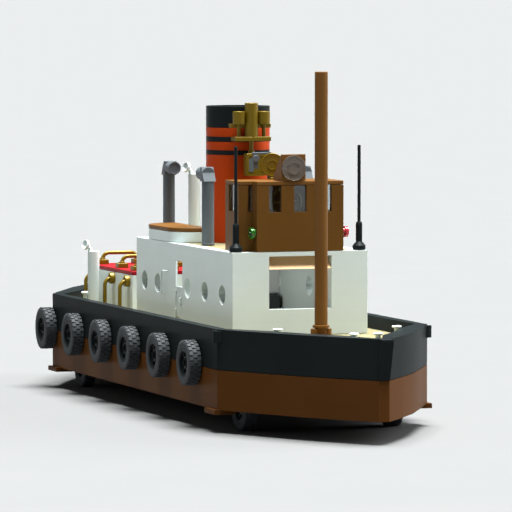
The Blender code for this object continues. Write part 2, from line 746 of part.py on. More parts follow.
def make_vents():
    """White poles with a tilted cowl on top that faces outwards."""
    for where, (x, half_apart, level, height) in VENTS.items():
        for side, y_sign in (("starboard", -1), ("port", 1)):
            y, top = y_sign * half_apart, level + height
            name = f"cowl_vent_{where}_{side}"
            vent = rod(name, PIPE_RADIUS, (x, y, level + GAP), (x, y, top), WHITE)
            out, up = COWL_OFFSET
            middle = Vector((x, y + y_sign * out, top + up))
            half = COWL_LENGTH / 2 * Vector((0.30, y_sign * 0.90, 0.30)).normalized()
            join(
                vent,
                rod(f"{name}_neck", 0.0016, (x, y + y_sign * 0.0015, top - 0.0010), middle),
                rod(f"{name}_cowl", COWL_RADIUS, middle - half, middle + half),
            )


def make_lockers():
    """Low lockers beside the funnel, straight on the inner side, with brown lids."""
    aft, bow = LOCKER_X
    near, far = LOCKER_Y
    round_corners = arc((bow - LOCKER_CORNER, far - LOCKER_CORNER), LOCKER_CORNER, 0.0, pi / 2, 6)
    round_corners += arc((aft + LOCKER_CORNER, far - LOCKER_CORNER), LOCKER_CORNER, pi / 2, pi, 6)
    plan = [(aft, near), (bow, near)] + round_corners
    lid = ROOF + LOCKER_HEIGHT
    for side, y_sign in (("starboard", -1), ("port", 1)):
        outline = [(x, y_sign * y) for x, y in plan]
        slab(f"roof_locker_{side}", outline, ROOF + GAP, lid, WHITE)
        slab(f"locker_lid_{side}", outline, lid + GAP, lid + PLATE, BROWN)


def make_casing():
    """The aft engine casing, with gold pipework up its sides and over its top."""
    aft, bow = CASING_X
    casing = box("engine_casing", (aft, -CASING_HALF, DECK + GAP), (bow, CASING_HALF, CASING_TOP), WHITE)
    slab_top = CASING_TOP + PLATE
    top = box("casing_top", (aft, -CASING_HALF, CASING_TOP + GAP), (bow, CASING_HALF, slab_top), RED)
    for i, x in enumerate(PIPEWORK_X):
        for side in (-1, 1):
            name = f"{i}_{side}"
            crown = slab_top + HOOP_TOP
            low, high = HOOP_Y
            bends = arc((high - HOOP_BEND, crown - HOOP_BEND), HOOP_BEND, 0.0, pi / 2)
            bends += arc((low + HOOP_BEND, crown - HOOP_BEND), HOOP_BEND, pi / 2, pi)
            path = [(high, slab_top + 0.0010)] + bends + [(low, slab_top + 0.0010)]
            join(top, tube(f"hoop_{name}", TUBE_RADIUS, [(x, side * y, z) for y, z in path]))
            for y in HOOP_Y:
                ys = sorted((side * y - 0.0040, side * y + 0.0040))
                block = box(
                    f"hoop_block_{name}_{y}",
                    (x - 0.0045, ys[0], slab_top - 0.0010),
                    (x + 0.0045, ys[1], slab_top + 0.0037),
                )
                join(top, block)
            bend = arc((STEAM_PIPE_Y - HOOP_BEND, STEAM_PIPE_TOP - HOOP_BEND), HOOP_BEND, 0.0, pi / 2)
            path = [(STEAM_PIPE_Y, DECK + GAP)] + bend
            pipe = tube(f"steam_pipe_{name}", TUBE_RADIUS, [(x, side * y, z) for y, z in path])
            valve = rod(
                f"valve_{name}",
                VALVE_RADIUS,
                (x, side * (CASING_HALF - 0.0010), STEAM_PIPE_TOP),
                (x, side * (CASING_HALF + STUD / 2), STEAM_PIPE_TOP),
            )
            join(casing, valve, pipe)


def make_mast():
    mast = rod("mast", MAST_RADIUS, (MAST_X, 0.0, DECK + GAP), (MAST_X, 0.0, MAST_TOP), BROWN, segments=20)
    collar_radius, low, high = MAST_COLLAR
    half = MAST_FOOT_HALF
    join(
        mast,
        rod("mast_collar", collar_radius, (MAST_X, 0.0, low), (MAST_X, 0.0, high)),
        box("mast_foot", (MAST_X - half, -half, DECK + GAP), (MAST_X + half, half, MAST_FOOT_TOP)),
    )
    knob_radius, apart = MAST_KNOB
    for side in (-1, 1):
        y = side * apart
        join(mast, rod(f"mast_knob_{side}", knob_radius, (MAST_X, y, DECK + 0.0030), (MAST_X, y, DECK + STUD)))


clear_scene()
make_hull()
make_fenders()
make_running_gear()
make_house()
make_wheelhouse()
make_lamps()
make_funnel()
make_exhausts()
make_vents()
make_lockers()
make_casing()
make_mast()
bpy.context.view_layer.update()
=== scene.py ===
"""A toy tugboat of plastic bricks on small rubber tyres, dressed for the photograph.

Metres, +Z up, bow towards +X, port towards +Y, standing on the floor at z = 0.
"""

import json
import logging
from collections.abc import Callable, Iterable, Iterator, Sequence
from contextlib import contextmanager
from dataclasses import dataclass
from enum import Enum
from itertools import pairwise
from math import cos, pi, radians, sin

import bmesh
import bpy
from bpy.types import Material, Node, NodeSocket, NodeTree, Object
from mathutils import Matrix, Vector

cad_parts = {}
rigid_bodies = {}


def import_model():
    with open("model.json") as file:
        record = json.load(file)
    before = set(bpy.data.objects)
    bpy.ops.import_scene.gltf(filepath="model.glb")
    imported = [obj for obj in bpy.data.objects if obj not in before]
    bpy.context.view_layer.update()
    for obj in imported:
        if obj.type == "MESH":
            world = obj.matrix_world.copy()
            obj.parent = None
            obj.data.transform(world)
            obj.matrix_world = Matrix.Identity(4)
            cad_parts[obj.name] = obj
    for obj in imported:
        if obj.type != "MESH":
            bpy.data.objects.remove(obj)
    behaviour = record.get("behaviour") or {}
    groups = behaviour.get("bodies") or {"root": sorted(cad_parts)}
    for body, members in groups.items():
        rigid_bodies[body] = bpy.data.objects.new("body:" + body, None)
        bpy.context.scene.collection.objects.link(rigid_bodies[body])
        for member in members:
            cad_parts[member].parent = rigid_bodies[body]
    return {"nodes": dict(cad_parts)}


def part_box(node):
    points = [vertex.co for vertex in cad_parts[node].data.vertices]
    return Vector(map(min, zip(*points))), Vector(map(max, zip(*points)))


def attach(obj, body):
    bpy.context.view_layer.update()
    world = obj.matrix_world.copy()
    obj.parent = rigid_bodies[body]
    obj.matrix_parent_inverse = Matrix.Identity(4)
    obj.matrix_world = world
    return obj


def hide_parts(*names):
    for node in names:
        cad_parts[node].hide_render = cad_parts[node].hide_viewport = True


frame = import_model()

log = logging.getLogger("tugboat")
Point = Sequence[float]
Pair = tuple[float, float]
FaceTest = Callable[[Vector, Vector], bool]

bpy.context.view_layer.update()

# The building grid, in metres
STUD = 0.008
BRICK = 0.0096
PLATE = 0.0032
GAP = 0.0003
MM = 0.001

WELD = 1e-6
MOULD_EDGE = 0.00035
EDGE_ANGLE = radians(25)
SOFT_ANGLE = radians(50)
FLAT = 0.99


class Place(Enum):
    """A choice of places on the boat."""

    @property
    def word(self) -> str:
        """The place's name as node names spell it."""
        return self.name.lower()


class Side(Place):
    """The two sides of the boat, with the sign of y that each lies on."""

    STARBOARD = -1
    PORT = 1


class End(Place):
    """The two ends of the boat, with the sign of x that each lies on."""

    BOW = 1
    STERN = -1


def linear(colour: str) -> tuple[float, float, float, float]:
    """Turns an sRGB hex colour into linear red, green, blue and alpha.

    Args:
        colour: Six hex digits after a hash sign.

    Returns:
        The colour as Blender's sockets take it.
    """
    parts = [int(colour[i : i + 2], 16) / 255 for i in (1, 3, 5)]
    red, green, blue = (c / 12.92 if c <= 0.04045 else ((c + 0.055) / 1.055) ** 2.4 for c in parts)
    return red, green, blue, 1.0


def add_node(tree: NodeTree, kind: str, settings: dict | None = None, links: dict | None = None) -> Node:
    """Adds one node with its settings and links.

    Args:
        tree: The tree that takes the node.
        kind: The node's type.
        settings: Values by property name, or else by the name or number of an input.
        links: Sockets that feed the node, by the name or number of its input.

    Returns:
        The new node.
    """
    node = tree.nodes.new(kind)
    for name, value in (settings or {}).items():
        if isinstance(name, str) and hasattr(node, name):
            setattr(node, name, value)
        else:
            node.inputs[name].default_value = value
    for name, source in (links or {}).items():
        tree.links.new(source, node.inputs[name])
    return node


@dataclass(frozen=True)
class Courses:
    """The hairline joints between bricks, in running bond on walls and in a grid on flat tops.

    Attributes:
        base: The level of a joint, from which the courses are counted.
        height: One course, a brick of 9.6 mm.
        length: One brick along a wall.
        width: The joint's width. A real one is under 0.1 mm, and this is drawn wider so that it shows.
        depth: How much darker a joint is than the brick's face.
    """

    base: float = 0.0
    height: float = BRICK
    length: float = 4 * STUD
    width: float = 0.00016
    depth: float = 0.30

    def mask(self, tree: NodeTree) -> NodeSocket:
        """Draws the joints.

        Args:
            tree: The material's tree.

        Returns:
            A socket that is one in a joint and nought elsewhere.
        """
        unit = 4 * MM  # the pattern's own unit, which keeps the joint's width within its socket
        place = add_node(tree, "ShaderNodeTexCoord")
        axes = add_node(tree, "ShaderNodeSeparateXYZ", links={0: place.outputs["Object"]})
        x, y, z = axes.outputs
        along = add_node(tree, "ShaderNodeMath", {"operation": "ADD"}, {0: x, 1: y})
        level = add_node(tree, "ShaderNodeMath", {"operation": "SUBTRACT", 1: self.base}, {0: z})
        wall = add_node(tree, "ShaderNodeCombineXYZ", links={0: along.outputs[0], 1: level.outputs[0]})
        masks = []
        for vector, high in ((wall.outputs[0], self.height), (place.outputs["Object"], 2 * STUD)):
            masks.append(
                add_node(
                    tree,
                    "ShaderNodeTexBrick",
                    {
                        "Scale": 1 / unit,
                        "Mortar Size": self.width / unit / 2,
                        "Mortar Smooth": 0.4,
                        "Brick Width": self.length / unit,
                        "Row Height": high / unit,
                    },
                    {"Vector": vector},
                ).outputs["Fac"]
            )
        facing = add_node(tree, "ShaderNodeSeparateXYZ", links={0: place.outputs["Normal"]})
        steep = add_node(tree, "ShaderNodeMath", {"operation": "ABSOLUTE"}, {0: facing.outputs[2]})
        flat = add_node(tree, "ShaderNodeMath", {"operation": "GREATER_THAN", 1: 0.7}, {0: steep.outputs[0]})
        choice = add_node(tree, "ShaderNodeMix", links={0: flat.outputs[0], 2: masks[0], 3: masks[1]})
        return choice.outputs[0]


@dataclass(frozen=True)
class Finish:
    """What a piece is made of.

    Attributes:
        name: The material's name.
        slot: The record's slot that it stands for, or None for a small piece that has none. It is not used.
        colour: Its colour.
    """

    name: str
    slot: str | None
    colour: str

    def material(self) -> Material:
        """Finds the material, or makes it.

        Returns:
            The material.
        """
        found = bpy.data.materials.get(self.name)
        if found:
            return found
        made = bpy.data.materials.new(self.name)
        made.use_nodes = True
        self.lay_out(made.node_tree, made.node_tree.nodes["Principled BSDF"])
        return made

    def lay_out(self, tree: NodeTree, shader: Node) -> None:
        """Feeds the shader. Each kind of finish has its own way.

        Args:
            tree: The material's tree.
            shader: Its shader.
        """
        raise NotImplementedError


@dataclass(frozen=True)
class Plastic(Finish):
    """Injection-moulded ABS: even colour, a soft gloss, and a faint grain left by the mould.

    Attributes:
        drift: The tone that it wanders to over a few centimetres, as moulded batches do.
        roughness: Its roughness.
        metallic: Its metallic share, for a pearl pigment.
        gloss: The specular level.
        grain: How high the mould's grain stands, as a share of a tenth of a millimetre.
        courses: The joints between its bricks, or None for a single piece.
    """

    drift: str
    roughness: float = 0.34
    metallic: float = 0.0
    gloss: float = 0.05
    grain: float = 0.012
    courses: Courses | None = None

    def lay_out(self, tree: NodeTree, shader: Node) -> None:
        """Feeds the shader with the colour, the joints between bricks and the mould's grain.

        Args:
            tree: The material's tree.
            shader: Its shader.
        """
        shader.inputs["IOR"].default_value = 1.54
        shader.inputs["Metallic"].default_value = self.metallic
        shader.inputs["Specular IOR Level"].default_value = self.gloss
        place = add_node(tree, "ShaderNodeTexCoord").outputs["Object"]
        clouds = {"Scale": 1 / (35 * MM), "Detail": 2.0}
        cloudy = add_node(tree, "ShaderNodeTexNoise", clouds, {"Vector": place})
        colour = add_node(
            tree,
            "ShaderNodeMix",
            {"data_type": "RGBA", 6: linear(self.colour), 7: linear(self.drift)},
            {0: cloudy.outputs["Fac"]},
        ).outputs[2]
        # The mould's real grain is about 0.1 mm, and this is coarser so that it shows
        fine = {"Scale": 1 / (0.9 * MM), "Detail": 3.0}
        grain = add_node(tree, "ShaderNodeTexNoise", fine, {"Vector": place})
        rough = add_node(
            tree,
            "ShaderNodeMapRange",
            {1: 0.3, 2: 0.7, 3: self.roughness - 0.04, 4: self.roughness + 0.05},
            {0: grain.outputs["Fac"]},
        )
        tree.links.new(rough.outputs[0], shader.inputs["Roughness"])
        height = add_node(
            tree, "ShaderNodeMath", {"operation": "MULTIPLY", 1: self.grain}, {0: grain.outputs["Fac"]}
        ).outputs[0]
        if self.courses:
            joints = self.courses.mask(tree)
            darken = {"operation": "MULTIPLY", 1: self.courses.depth}
            dark = add_node(tree, "ShaderNodeMath", darken, {0: joints})
            colour = add_node(
                tree,
                "ShaderNodeMix",
                {"data_type": "RGBA", 7: (0.01, 0.01, 0.01, 1.0)},
                {0: dark.outputs[0], 6: colour},
            ).outputs[2]
            sunk = add_node(tree, "ShaderNodeMath", {"operation": "SUBTRACT"}, {0: height, 1: joints})
            height = sunk.outputs[0]
        tree.links.new(colour, shader.inputs["Base Color"])
        bump = add_node(tree, "ShaderNodeBump", {"Strength": 0.35, "Distance": 0.10 * MM}, {"Height": height})
        tree.links.new(bump.outputs[0], shader.inputs["Normal"])


@dataclass(frozen=True)
class Rubber(Finish):
    """Soft black rubber: no gloss, and a fine grain that breaks up what light it gives back.

    Attributes:
        worn: The greyer tone of the grain's high spots.
    """

    worn: str

    def lay_out(self, tree: NodeTree, shader: Node) -> None:
        """Feeds the shader with a fine grain.

        Args:
            tree: The material's tree.
            shader: Its shader.
        """
        shader.inputs["IOR"].default_value = 1.52
        shader.inputs["Specular IOR Level"].default_value = 0.3
        place = add_node(tree, "ShaderNodeTexCoord").outputs["Object"]
        fine = {"Scale": 1 / (0.6 * MM), "Detail": 4.0}
        grain = add_node(tree, "ShaderNodeTexNoise", fine, {"Vector": place})
        colour = add_node(
            tree,
            "ShaderNodeMix",
            {"data_type": "RGBA", 6: linear(self.colour), 7: linear(self.worn)},
            {0: grain.outputs["Fac"]},
        )
        tree.links.new(colour.outputs[2], shader.inputs["Base Color"])
        rough = add_node(tree, "ShaderNodeMapRange", {3: 0.62, 4: 0.85}, {0: grain.outputs["Fac"]})
        tree.links.new(rough.outputs[0], shader.inputs["Roughness"])
        bump = add_node(
            tree, "ShaderNodeBump", {"Strength": 0.4, "Distance": 0.05 * MM}, {"Height": grain.outputs["Fac"]}
        )
        tree.links.new(bump.outputs[0], shader.inputs["Normal"])


@dataclass(frozen=True)
class Clear(Finish):
    """Polycarbonate, clear or tinted: smooth, bright at its edges, with faint swirls from the mould.

    Attributes:
        transmission: How much light passes through.
        roughness: Its roughness.
    """

    transmission: float = 0.9
    roughness: float = 0.08

    def lay_out(self, tree: NodeTree, shader: Node) -> None:
        """Feeds the shader with a swirl in its roughness.

        Args:
            tree: The material's tree.
            shader: Its shader.
        """
        shader.inputs["Base Color"].default_value = linear(self.colour)
        shader.inputs["IOR"].default_value = 1.58
        shader.inputs["Transmission Weight"].default_value = self.transmission
        place = add_node(tree, "ShaderNodeTexCoord").outputs["Object"]
        broad = {"Scale": 1 / (4 * MM), "Detail": 1.0}
        swirl = add_node(tree, "ShaderNodeTexNoise", broad, {"Vector": place})
        rough = add_node(
            tree,
            "ShaderNodeMapRange",
            {3: self.roughness * 0.6, 4: self.roughness * 1.6},
            {0: swirl.outputs["Fac"]},
        )
        tree.links.new(rough.outputs[0], shader.inputs["Roughness"])


# Levels, counted in bricks and plates from the hull's underside
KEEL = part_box("hull_lower")[0].z + PLATE
WATERLINE = KEEL + 3 * BRICK
DECK = KEEL + 5 * BRICK
RIM = KEEL + 6 * BRICK
ROOF = DECK + 6 * BRICK + PLATE

# Moulded ABS. Pieces built of many bricks also show the joints between them

# Near black, with a dull sheen along its edges
BLACK = Plastic("black_abs", "black_plastic", "#15191A", "#1B2021", gloss=0.04)
# A greyer black, so that the engine shows in the dark cabin
ENGINE_BLACK = Plastic("engine_black_abs", "black_plastic", "#454C4F", "#3E4547")
# Black hull sides, almost without gloss, whose joints are hard to see
BLACK_BRICKS = Plastic(
    "black_abs_bricks",
    "black_plastic",
    "#171B1C",
    "#1D2223",
    gloss=0.008,
    courses=Courses(WATERLINE, length=6 * STUD, depth=0.5),
)
# Deep red-brown and dull, with joints a shade darker
HULL_BROWN = Plastic(
    "dark_brown_abs_bricks",
    "dark_brown_plastic",
    "#4F3117",
    "#472B12",
    gloss=0.008,
    courses=Courses(KEEL, length=6 * STUD, depth=0.4),
)
# Warm mid brown with a soft sheen
BROWN = Plastic("brown_abs", "dark_brown_plastic", "#6A4924", "#60411E")
# The same brown, a shade deeper, in short bricks
BROWN_BRICKS = Plastic(
    "brown_abs_bricks",
    "dark_brown_plastic",
    "#61421C",
    "#583B17",
    courses=Courses(ROOF, length=2 * STUD, depth=0.3),
)
# The brow's dark brown, lightened to pale tan: painted light standing in for the lamp on its upward-facing
# slope
PAINTED_LIT_BROWN = Plastic("light_brown_abs", "dark_brown_plastic", "#DDB88C", "#D3AE83")
# Cool white with a soft sheen
WHITE = Plastic("white_abs", "white_plastic", "#C9D4D2", "#C1CCCA")
# The same white, with faint grey hairlines between its bricks
WHITE_BRICKS = Plastic(
    "white_abs_bricks",
    "white_plastic",
    "#C9D4D2",
    "#C1CCCA",
    courses=Courses(DECK, length=4 * STUD, depth=0.12),
)
# Dull straw, which reads pale cream under the overhead lamp
CREAM = Plastic(
    "pale_yellow_abs",
    "pale_yellow_plastic",
    "#847E60",
    "#7D7759",
    courses=Courses(DECK, depth=0.16),
)
# Strong, even orange
ORANGE = Plastic("orange_abs", "orange_plastic", "#AA3B0E", "#9F360B")
# Deep red, which the overhead lamp brightens
RED = Plastic("red_abs", "red_plastic", "#8E1A22", "#84161E")
# A pearl pigment in the plastic: a metal's glint, but a broad, soft one
GOLD = Plastic(
    "pearl_gold_abs",
    "gold_plastic",
    "#75600A",
    "#6B5707",
    roughness=0.32,
    metallic=0.35,
    gloss=0.3,
    grain=0.002,
)
# Blue-grey, even and dull
GREY = Plastic("dark_grey_abs", "dark_grey_plastic", "#5A6165", "#53595D")
# Pale grey, light enough to show in the cabin's shade
LIGHT_GREY = Plastic("light_grey_abs", "light_grey_plastic", "#D8DBDB", "#CFD2D2")

# Soft dull rubber, mottled between two near blacks
RUBBER = Rubber("matt_rubber", "rubber", "#262A2D", "#33373A")

# Polycarbonate. Half clear, so that a lens shows its own colour and a bright rim
GREEN_LENS = Clear("green_polycarbonate", "green_lens", "#2C7A1E", 0.55)
RED_LENS = Clear("red_polycarbonate", "red_lens", "#C23A46", 0.55)
# Window panes, seen only by their glints
GLASS = Clear("clear_polycarbonate", None, "#E6EEF0", 1.0, 0.03)
# The lamp's dish, blurred, with the brown behind it showing through
FROSTED = Clear("frosted_polycarbonate", None, "#83766A", 0.6, 0.16)


def alone(piece: Object | None = None) -> None:
    """Selects one object and nothing else, or nothing at all.

    Args:
        piece: The object, or None.
    """
    for other in bpy.context.view_layer.objects:
        other.select_set(other is piece)
    bpy.context.view_layer.objects.active = piece


@contextmanager
def edit(piece: Object, mode: str = "FACE") -> Iterator[None]:
    """Opens a piece in edit mode with nothing selected, and closes it afterwards.

    Args:
        piece: The piece.
        mode: What is picked: VERT, EDGE or FACE.
    """
    alone(piece)
    bpy.ops.object.mode_set(mode="EDIT")
    bpy.ops.mesh.select_mode(type=mode)
    bpy.ops.mesh.select_all(action="DESELECT")
    try:
        yield
    finally:
        bpy.ops.object.mode_set(mode="OBJECT")


def pick(piece: Object, wanted: FaceTest) -> int:
    """Selects faces of the piece that is open in edit mode.

    Args:
        piece: The piece.
        wanted: Takes a face's middle and its normal, and says whether it is picked.

    Returns:
        How many faces were picked.
    """
    mesh = bmesh.from_edit_mesh(piece.data)
    for face in mesh.faces:
        face.select_set(wanted(face.calc_center_median(), face.normal))
    mesh.select_flush_mode()
    bmesh.update_edit_mesh(piece.data)
    return sum(face.select for face in mesh.faces)


def settle(piece: Object) -> Object:
    """Puts a piece's place, turn and size into its mesh, so that its object sits at the origin.

    Args:
        piece: The piece.

    Returns:
        The same piece.
    """
    alone(piece)
    bpy.ops.object.transform_apply(location=True, rotation=True, scale=True)
    return piece


def round_edges(piece: Object, width: float = MOULD_EDGE, segments: int = 2) -> Object:
    """Rounds a piece's hard edges as a mould leaves them.

    Args:
        piece: The piece.
        width: How far the rounding reaches from the edge.
        segments: The faces across it.

    Returns:
        The same piece.
    """
    alone(piece)
    bevel = piece.modifiers.new("Moulded edges", "BEVEL")
    bevel.width = width
    bevel.segments = segments
    bevel.limit_method = "ANGLE"
    bevel.angle_limit = EDGE_ANGLE
    bpy.ops.object.modifier_apply(modifier=bevel.name)
    return piece


def block(name: str, low: Point, high: Point, edge: float = MOULD_EDGE) -> Object:
    """A brick-like piece between two corners, with rounded edges.

    Args:
        name: The piece's name.
        low: Its lowest corner.
        high: Its highest corner.
        edge: How far the rounding reaches.

    Returns:
        The piece.
    """
    alone()
    low, high = Vector(low), Vector(high)
    bpy.ops.mesh.primitive_cube_add(size=1.0, location=(low + high) / 2, scale=high - low)
    made = bpy.context.active_object
    made.name = name
    settle(made)
    return round_edges(made, edge) if edge else made


def drum(
    name: str,
    radius: float,
    start: Point,
    end: Point,
    end_radius: float | None = None,
    sides: int = 32,
    edge: float = MOULD_EDGE,
) -> Object:
    """A round piece between two points, with rounded ends.

    Args:
        name: The piece's name.
        radius: Its radius at the start.
        start: The middle of its first end.
        end: The middle of its other end.
        end_radius: Its radius at the end, where it tapers.
        sides: The faces around it.
        edge: How far the rounding reaches.

    Returns:
        The piece.
    """
    alone()
    start, end = Vector(start), Vector(end)
    along = end - start
    bpy.ops.mesh.primitive_cone_add(
        vertices=sides,
        radius1=radius,
        radius2=radius if end_radius is None else end_radius,
        depth=along.length,
        location=(start + end) / 2,
        rotation=along.to_track_quat("Z", "Y").to_euler(),
    )
    made = bpy.context.active_object
    made.name = name
    settle(made)
    return round_edges(made, edge) if edge else made


def lathe(
    name: str,
    profile: Sequence[Point],
    at: Point,
    axis: Point = (0, 0, 1),
    steps: int = 40,
    closed: bool = True,
) -> Object:
    """Turns an outline about an axis.

    Args:
        name: The piece's name.
        profile: Its points as (radius, distance along the axis).
        at: Where the axis starts.
        axis: Which way it points.
        steps: The faces around it.
        closed: Whether the last point is joined to the first. It isn't where both lie on the axis.

    Returns:
        The piece.
    """
    alone()
    points = [Vector((r, 0.0, z)) for r, z in profile]
    if closed:
        points.append(points[0])
    bpy.ops.mesh.primitive_plane_add(size=STUD)
    made = bpy.context.active_object
    made.name = name
    with edit(made, "VERT"):
        bpy.ops.mesh.select_all(action="SELECT")
        bpy.ops.mesh.merge(type="CENTER")
        bpy.ops.transform.translate(value=points[0])
        for near, far in pairwise(points):
            bpy.ops.mesh.extrude_vertices_move(TRANSFORM_OT_translate={"value": far - near})
        bpy.ops.mesh.select_all(action="SELECT")
        bpy.ops.mesh.spin(steps=steps, angle=2 * pi, center=(0, 0, 0), axis=(0, 0, 1))
        bpy.ops.mesh.select_all(action="SELECT")
        bpy.ops.mesh.remove_doubles(threshold=WELD)
        bpy.ops.mesh.normals_make_consistent(inside=False)
    turn = Vector(axis).to_track_quat("Z", "Y").to_matrix().to_4x4()
    made.data.transform(Matrix.Translation(Vector(at)) @ turn)
    return made


def tube(name: str, radius: float, path: Iterable[Point], sides: int = 2) -> Object:
    """A round tube along a path, with closed ends.

    Args:
        name: The piece's name.
        radius: Its radius.
        path: The points that it follows.
        sides: The curve's bevel resolution.

    Returns:
        The piece, as a mesh.
    """
    curve = bpy.data.curves.new(name, "CURVE")
    curve.dimensions = "3D"
    curve.bevel_depth = radius
    curve.bevel_resolution = sides
    curve.use_fill_caps = True
    points = list(path)
    line = curve.splines.new("POLY")
    line.points.add(len(points) - 1)
    for point, place in zip(line.points, points):
        point.co = (*place, 1.0)
    made = bpy.data.objects.new(name, curve)
    bpy.context.scene.collection.objects.link(made)
    alone(made)
    bpy.ops.object.convert(target="MESH")
    made = bpy.context.active_object
    weld(made)
    return made


def weld(piece: Object) -> Object:
    """Merges a piece's doubles and turns its faces outwards.

    Args:
        piece: The piece.

    Returns:
        The same piece.
    """
    with edit(piece, "VERT"):
        bpy.ops.mesh.select_all(action="SELECT")
        bpy.ops.mesh.remove_doubles(threshold=WELD)
        bpy.ops.mesh.normals_make_consistent(inside=False)
    return piece


def arc(middle: Pair, radius: float, start: float, end: float, steps: int = 8) -> list[Pair]:
    """Points of an arc in a plane, from one angle to another."""
    angles = [start + (end - start) * i / steps for i in range(steps + 1)]
    return [(middle[0] + radius * cos(a), middle[1] + radius * sin(a)) for a in angles]


def merge(name: str, pieces: Sequence[Object]) -> Object:
    """Joins pieces that are one moulding, or that sit together, into one object.

    Args:
        name: The new object's name.
        pieces: What is joined.

    Returns:
        The joined object.
    """
    for other in bpy.context.view_layer.objects:
        other.select_set(other in pieces)
    bpy.context.view_layer.objects.active = pieces[0]
    bpy.ops.object.join()
    made = bpy.context.active_object
    made.name = name
    return made


def copy_of(piece: Object, name: str, change: Matrix) -> Object:
    """A copy of a piece with its own mesh, moved, turned or mirrored.

    Args:
        piece: What is copied.
        name: The copy's name.
        change: What is done to it.

    Returns:
        The copy.
    """
    mesh = piece.data.copy()
    mesh.transform(change)
    if change.determinant() < 0:
        mesh.flip_normals()
    made = bpy.data.objects.new(name, mesh)
    bpy.context.scene.collection.objects.link(made)
    return made


def recast(node: str, edge: float = MOULD_EDGE) -> Object:
    """A copy of a solid with its flat faces whole and its edges rounded, to stand in its place.

    Args:
        node: The node's name.
        edge: How far the rounding reaches.

    Returns:
        The piece, named for the node.
    """
    made = copy_of(frame["nodes"][node], f"{node}_moulding", Matrix.Identity(4))
    made.data.materials.clear()
    weld(made)
    bpy.ops.mesh.customdata_custom_splitnormals_clear()
    with edit(made, "VERT"):
        bpy.ops.mesh.select_all(action="SELECT")
        bpy.ops.mesh.dissolve_limited(angle_limit=radians(0.5))
    return round_edges(made, edge)


def dress(
    piece: Object,
    finish: Finish,
    body: str = "hull",
    stands_for: Sequence[str] = (),
    smooth: float = SOFT_ANGLE,
) -> Object:
    """Gives a finished piece its material, its body and the nodes that it stands for.

    Args:
        piece: The piece.
        finish: Its finish.
        body: The body that it moves with.
        stands_for: The nodes that it replaces.
        smooth: The angle under which its faces are shaded as one.

    Returns:
        The same piece.
    """
    if not piece.data.materials:
        piece.data.materials.append(finish.material())
    alone(piece)
    bpy.ops.object.shade_smooth_by_angle(angle=smooth)
    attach(piece, body)
    if stands_for:
        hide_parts(*stands_for)
    even = piece.modifiers.new("Even shading", "WEIGHTED_NORMAL")
    even.keep_sharp = True
    bpy.ops.object.modifier_apply(modifier=even.name)
    log.info("%s: %d faces, on %s", piece.name, len(piece.data.polygons), body)
    return piece


@dataclass
class Hull:
    """The two hull mouldings with their stems, and the deck inside the bulwark with its bollards."""

    bollard_post: float = 0.0018
    bollard_head: float = 0.0035
    bollard_top: float = RIM + 0.0018
    shoulder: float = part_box("hull_lower")[1].x - 15.5 * STUD

    @property
    def rows(self) -> tuple[Pair, ...]:
        """Where each pair of bollards stands, as x and half the distance between the two."""
        bow, stern = self.shoulder, -self.shoulder
        return (bow + 0.030, 0.0450), (bow + 0.088, 0.0090), (stern + 0.011, 0.0560)

    def build(self) -> None:
        """Builds the hull."""
        dress(recast("hull_lower"), HULL_BROWN, stands_for=["hull_lower"], smooth=EDGE_ANGLE)
        dress(recast("hull_upper"), BLACK_BRICKS, stands_for=["hull_upper"], smooth=EDGE_ANGLE)
        for end in End:
            node = f"stem_{end.word}"
            dress(recast(node, 0.0002), BLACK, stands_for=[node])
        self.deck()
        self.bollards()

    def deck(self) -> None:
        """The pale deck: the solid without its bollards, which are white."""
        made = weld(copy_of(frame["nodes"]["deck"], "deck_plates", Matrix.Identity(4)))
        made.data.materials.clear()
        with edit(made, "VERT"):
            bpy.ops.mesh.select_all(action="SELECT")
            level = DECK - 20 * WELD
            bpy.ops.mesh.bisect(plane_co=(0, 0, level), plane_no=(0, 0, 1), clear_outer=True, use_fill=True)
            bpy.ops.mesh.select_all(action="SELECT")
            bpy.ops.mesh.dissolve_limited(angle_limit=radians(0.5))
        dress(round_edges(made, 0.0002), CREAM, stands_for=["deck"], smooth=EDGE_ANGLE)

    def bollards(self) -> None:
        """White bollards with mushroom heads, in three pairs."""
        foot, neck, head = self.bollard_post * 1.7, self.bollard_post, self.bollard_head
        rim, lip = RIM + GAP, 0.0005
        first = lathe(
            "bollard",
            [
                (0.0, DECK),
                (foot, DECK),
                (foot, DECK + lip),
                (neck, DECK + 3 * lip),
                (neck, rim - lip),
                (head - lip, rim),
                (head, rim + lip),
                (head, self.bollard_top - lip),
                (head - lip, self.bollard_top),
                (0.0, self.bollard_top),
            ],
            (0, 0, 0),
            steps=24,
            closed=False,
        )
        for row, (x, half_apart) in enumerate(self.rows, 1):
            for side in Side:
                place = Matrix.Translation((x, side.value * half_apart, 0.0))
                dress(copy_of(first, f"bollard_{side.word}_{row}", place), WHITE)
        bpy.data.objects.remove(first)


